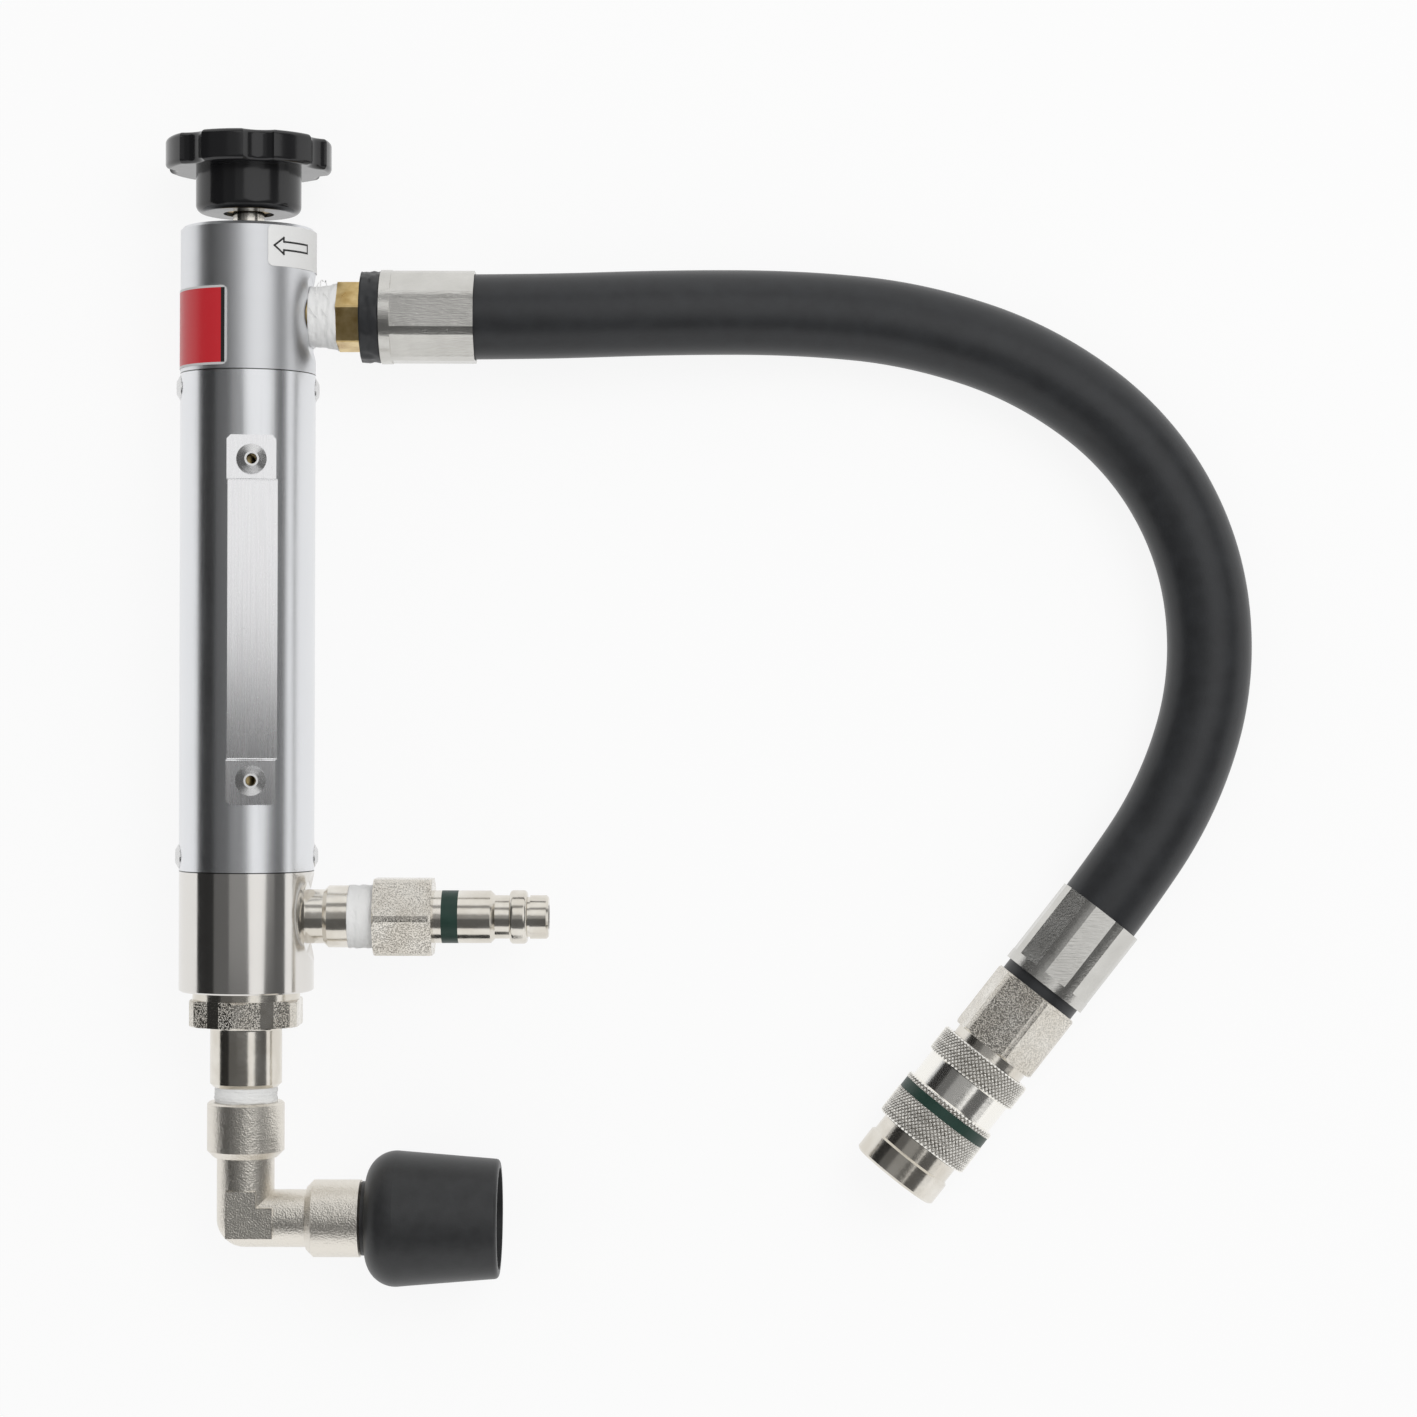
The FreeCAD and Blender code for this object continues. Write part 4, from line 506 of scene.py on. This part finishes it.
SHREDS = 14
SHRED_RADIUS, SHRED_ROOT = 0.00011, 0.0004
shred_dice = random.Random(7)
for number in range(SHREDS):
    angle = shred_dice.uniform(0, 2 * math.pi)
    reach = shred_dice.uniform(0.0006, 0.0022)
    length = shred_dice.uniform(0.0014, 0.0036)
    foot = tape_start + tape_axis * shred_dice.uniform(0.0008, 0.0058)
    out = Vector((0, math.sin(angle), math.cos(angle)))
    curl = Vector((shred_dice.uniform(-1, 1), math.cos(angle), -math.sin(angle))).normalized()
    line = bpy.data.curves.new(f"tape_shred_{number + 1}", "CURVE")
    line.dimensions = "3D"
    line.bevel_depth = SHRED_RADIUS
    line.bevel_resolution = 1
    strand = line.splines.new("NURBS")
    strand.points.add(3)
    route = [foot + out * (tape_radius - SHRED_ROOT), foot + out * (tape_radius + reach * 0.3),
             foot + out * (tape_radius + reach) + curl * length * 0.5,
             foot + out * (tape_radius + reach * 0.5) + curl * length]
    for point, spot in zip(strand.points, route):
        point.co = (*spot, 1)
    strand.order_u = 3
    strand.use_endpoint_u = True
    line.materials.append(film.material)
    shred = bpy.data.objects.new(line.name, line)
    bpy.context.scene.collection.objects.link(shred)
    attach(shred, "root")

# Hose: black rubber over a braid, 19 mm outside. It leaves the outlet ferrule, sinks to the
# floor in one wide bend and ends in the coupling's ferrule.
HOSE_ROUTE = [
    (0.00079, 0.08870, 0.0184), (0.03529, 0.08870, 0.0184), (0.07079, 0.09040, 0.0150),
    (0.09929, 0.09080, 0.0111), (0.12529, 0.08840, 0.0098), (0.15229, 0.07950, 0.0098),
    (0.17579, 0.06210, 0.0098), (0.18989, 0.03720, 0.0098), (0.19269, 0.00870, 0.0098),
    (0.18489, -0.01780, 0.0104), (0.16992, -0.04044, 0.0117), (0.15273, -0.06251, 0.0117),
]
HOSE_DIAMETER = 0.019

hose_rubber = Finish("black rubber", (0.022, 0.023, 0.025), specular=0.45)
chalk = hose_rubber.grain(240, 6.0)
skin = hose_rubber.grain(2600, 3.0)
hose_rubber.drive("Base Color", hose_rubber.colours(
    hose_rubber.ramp(chalk, 0.30, 0.80), (0.020, 0.021, 0.023), (0.028, 0.030, 0.033)))
hose_rubber.drive("Roughness", 0.34 + 0.09 * chalk)
hose_rubber.relief(skin, 0.000018)

hose_line = bpy.data.curves.new("warm_air_hose", "CURVE")
hose_line.dimensions = "3D"
hose_line.bevel_depth = HOSE_DIAMETER / 2
hose_line.bevel_resolution = 14
hose_line.resolution_u = 24
hose_line.use_fill_caps = True
hose_spline = hose_line.splines.new("NURBS")
hose_spline.points.add(len(HOSE_ROUTE) - 1)
for point, spot in zip(hose_spline.points, HOSE_ROUTE):
    point.co = (*spot, 1)
hose_spline.order_u = 3
hose_spline.use_endpoint_u = True
hose_line.materials.append(hose_rubber.material)
hose = bpy.data.objects.new("warm_air_hose", hose_line)
bpy.context.scene.collection.objects.link(hose)
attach(hose, "root")
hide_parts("hose")

# Hose end: the rubber that the ferrule has squeezed out towards the brass hexagon, cut off
# by hand and left ragged.
END_LENGTH = 0.0044
END_RADIUS = 0.0101
END_INNER = 0.0090
END_STEPS, END_AROUND = 10, 120
TEARS, TEAR_DEPTH = (5, 900), 0.0003


def ragged(radius, station, angle):
    return radius + TEAR_DEPTH * wrinkle(angle, station, TEARS) if radius > END_INNER else radius


end_steps = [END_LENGTH * step / END_STEPS for step in range(END_STEPS + 1)]
end_section = [(END_RADIUS, station) for station in end_steps]
end_section += [(END_INNER, station) for station in reversed(end_steps)]
end_corners, end_faces = lathed(
    pipe_frame(HOSE_ROUTE[0], (1, 0, 0)), end_section, END_AROUND, ragged)
hose_end = new_piece("hose_end", end_corners, end_faces, hose_rubber, "root")

# Coupling sleeve: nickel plated brass that slides back to free the plug. Two grips have a
# diamond knurl, cut by rolling two crossing sets of grooves, with a smooth neck between.
KNURL_ROWS = 0.00017
KNURL_AROUND = 448
KNURL_TEETH = 64
KNURL_DEPTH = 0.00030
KNURL_SLOPE = 1.5
KNURLED_BEYOND = 0.0114

knurled_nickel = Nickel("knurled nickel")
crest = knurled_nickel.node("ShaderNodeAttribute", {"attribute_name": "crest"}, output="Fac")
# Painted shade and highlight: the knurl's grooves are painted dark and its crests near white, for the shade in the
# grooves and the shine on the crests.
knurled_nickel.drive("Base Color", knurled_nickel.colours(
    knurled_nickel.ramp(crest, 0.10, 0.60), (0.26, 0.24, 0.21), (0.95, 0.93, 0.88)))
knurled_nickel.drive("Roughness", 0.16 + 0.30 * (1 - knurled_nickel.ramp(crest, 0.6, 1.0)))

MOUTH_TO_MOUNT = 0.00585
mouth_axis = -Vector(socket_axis)
mouth = Vector(socket_point) - mouth_axis * MOUTH_TO_MOUNT
grip_corners = [
    (0.00890, 0.0099), (0.01125, 0.0099), (0.01160, 0.01025), (0.01160, 0.0171), (0.01060, 0.0171),
    (0.01060, 0.0196), (0.01160, 0.0196), (0.01160, 0.02055), (0.01125, 0.0209), (0.01060, 0.0211),
    (0.01060, 0.0276), (0.01110, 0.0278), (0.01145, 0.02815), (0.01145, 0.03365), (0.01110, 0.0340),
    (0.00945, 0.0340), (0.00945, 0.0235), (0.00810, 0.0235), (0.00810, 0.0122), (0.00890, 0.0122),
]
GRIPS = ((0.01160, 0.01025, 0.01710), (0.01160, 0.0196, 0.02055), (0.01145, 0.02815, 0.03365))
grip_section = []
next_corners = grip_corners[1:] + grip_corners[:1]
for (radius, station), (next_radius, next_station) in zip(grip_corners, next_corners):
    rows = 1
    if radius == next_radius and radius > KNURLED_BEYOND:
        rows = max(int(round(abs(next_station - station) / KNURL_ROWS)), 1)
    for row in range(rows):
        grip_section.append((radius, station + (next_station - station) * row / rows))


def crest_at(radius, station, angle):
    """How high a spot of the sleeve stands on the knurl: 1 on its crests and smooth parts."""
    for grip_radius, low, high in GRIPS:
        if radius == grip_radius and low <= station <= high:
            turns = angle / (2 * math.pi) * KNURL_TEETH
            rise = station / (2 * math.pi * radius) * KNURL_TEETH
            left, right = (abs((turns + side * rise) % 1 - 0.5) * 2 for side in (1, -1))
            return min(1, KNURL_SLOPE * min(left, right))
    return 1


def knurl(radius, station, angle):
    return radius - KNURL_DEPTH * (1 - crest_at(radius, station, angle))


sleeve_corners, sleeve_faces = lathed(
    pipe_frame(mouth, mouth_axis), grip_section, KNURL_AROUND, knurl)
knurled = new_piece("knurled_sleeve", sleeve_corners, sleeve_faces, knurled_nickel,
                    "coupling_sleeve", smooth=False)
crests = knurled.data.attributes.new("crest", "FLOAT", "POINT")
crests.data.foreach_set("value", [
    crest_at(radius, station, 2 * math.pi * step / KNURL_AROUND)
    for step in range(KNURL_AROUND) for radius, station in grip_section])
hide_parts("coupling_sleeve")

# Coupling springs: copies of the CAD coils in place of the CAD nodes. Their length along the
# coupling is measured, but nothing makes them close up as the sleeve and the poppet move back.
travels = {joint["name"]: joint.get("range_m", (0, 0))[1] for joint in frame["joints"]}
for name, joint in (("sleeve_spring", "sleeve_pull"), ("poppet_spring", "poppet_push")):
    node = frame["nodes"][name]
    coil = bpy.data.objects.new(name + "_coil", node.data.copy())
    coil.matrix_world = node.matrix_world
    bpy.context.scene.collection.objects.link(coil)
    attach(coil, "root")
    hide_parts(name)
    stations = [(node.matrix_world @ corner.co - mouth).dot(mouth_axis)
                for corner in node.data.vertices]
    free_length = max(stations) - min(stations)
    hose_side = mouth + mouth_axis * max(stations)
    1 - travels[joint] / free_length
    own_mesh(coil)

# Studio: a white table under a white surround, which the camera, metal and glass all see. The
# table keeps a soft shadow under the tool.
TABLE_REACH = 3.0
TABLE_GLOW = 0.88
EVEN_LIGHT = 0.62


def seen(nodes):
    """1 for a ray that sees the surround, straight or in metal or glass, and 0 for its light."""
    straight, glossy, clear = (nodes.node("ShaderNodeLightPath", output=name) for name in (
        "Is Camera Ray", "Is Glossy Ray", "Is Transmission Ray"))
    return straight.greater(glossy).greater(clear)


table_finish = Finish("white table", (0.90, 0.90, 0.90), roughness=0.9)
glow = table_finish.node("ShaderNodeEmission", None, {"Color": (1, 1, 1, 1), "Strength": 1.0})
mixed = table_finish.node("ShaderNodeMixShader", None,
                          {0: seen(table_finish) * TABLE_GLOW, 2: glow})
table_finish.tree.links.new(table_finish.shader.outputs[0], mixed.socket.node.inputs[1])
table_finish.tree.links.new(mixed.socket, table_finish.tree.nodes["Material Output"].inputs[0])


def panel(name, corners, material):
    """A flat stage panel."""
    mesh = bpy.data.meshes.new(name)
    mesh.from_pydata(corners, [], [(0, 1, 2, 3)])
    mesh.materials.append(material)
    made = bpy.data.objects.new(name, mesh)
    bpy.context.scene.collection.objects.link(made)
    return made


def level(low, high, height):
    """The corners of a level rectangle."""
    return [(low[0], low[1], height), (high[0], low[1], height),
            (high[0], high[1], height), (low[0], high[1], height)]


def upright(start, end, low, high):
    """The corners of an upright rectangle over the floor line from start to end."""
    return [(*start, low), (*end, low), (*end, high), (*start, high)]


panel("table", level((-TABLE_REACH, -TABLE_REACH), (TABLE_REACH, TABLE_REACH), 0),
      table_finish.material)

world = bpy.data.worlds.new("surround")
bpy.context.scene.world = world
world.use_nodes = True
surround = Nodes(world.node_tree)
backdrop = world.node_tree.nodes["Background"]
backdrop.inputs["Color"].default_value = (1, 1, 1, 1)
strength = EVEN_LIGHT + (1 - EVEN_LIGHT) * seen(surround)
world.node_tree.links.new(strength.socket, backdrop.inputs["Strength"])

# Cards: a square softbox overhead, as white as the surround, with grey panels beside it and a
# black flag on each side of the tool. Only polished surfaces see them. They give the metal its
# bands, and the surround and the table show in it past their edges.
CEILING, LIGHT_HEIGHT = 1.2, 1.1
CARDS = (
    ("softbox", [(0.40, -0.45, LIGHT_HEIGHT), (1.50, 0.30, LIGHT_HEIGHT),
                 (0.75, 1.40, LIGHT_HEIGHT), (-0.35, 0.70, LIGHT_HEIGHT)], 1.0),
    ("grey_ceiling", level((-0.5, -0.16), (1.7, 1.6), CEILING), 0.30),
    ("foot_ceiling", level((-0.5, -1.4), (1.7, -0.16), CEILING), 0.12),
    ("left_ceiling", level((-1.4, -1.4), (-0.5, 1.6), CEILING), 0.13),
    ("left_flag", upright((-1.4, -1.4), (-1.4, 1.6), 0.15, CEILING), 0.03),
    ("right_flag", upright((1.7, -1.4), (1.7, 1.6), 0.45, CEILING), 0.12),
)
for name, corners, shade in CARDS:
    card_finish = Finish(name, (0, 0, 0), specular=0)
    card_finish.shader.inputs["Emission Color"].default_value = (1, 1, 1, 1)
    card_finish.shader.inputs["Emission Strength"].default_value = shade
    card = panel(name, corners, card_finish.material)
    card.visible_camera = card.visible_diffuse = card.visible_shadow = False

# Key light: one large box above and to the right, which gives soft forms and the shadow. The
# softbox card stands for it in polished surfaces.
KEY_SPOT = (0.42, 0.34, 0.85)
KEY_SIZE = 0.55
KEY_WATTS = 2.6

lamp = bpy.data.lights.new("key_box", "AREA")
lamp.shape = "SQUARE"
lamp.size = KEY_SIZE
lamp.energy = KEY_WATTS
key_box = bpy.data.objects.new("key_box", lamp)
key_box.location = KEY_SPOT
key_box.rotation_euler = Vector(KEY_SPOT).to_track_quat("Z", "Y").to_euler()
key_box.visible_glossy = False
bpy.context.scene.collection.objects.link(key_box)

# Camera: straight above the tool, as the photograph was taken, and turned a little because
# the tube leans in it.
CAMERA_SPOT = (0.07843, 0.00143, 0.7674)
CAMERA_LENS = 85.1
CAMERA_ROLL = 0.18

lens = bpy.data.cameras.new("camera")
lens.lens = CAMERA_LENS
lens.sensor_width = 36
lens.clip_start = 0.01
camera = bpy.data.objects.new("camera", lens)
camera.location = CAMERA_SPOT
camera.rotation_euler = (0, 0, math.radians(CAMERA_ROLL))
bpy.context.scene.collection.objects.link(camera)
bpy.context.scene.camera = camera
bpy.context.scene.view_settings.view_transform = "Standard"
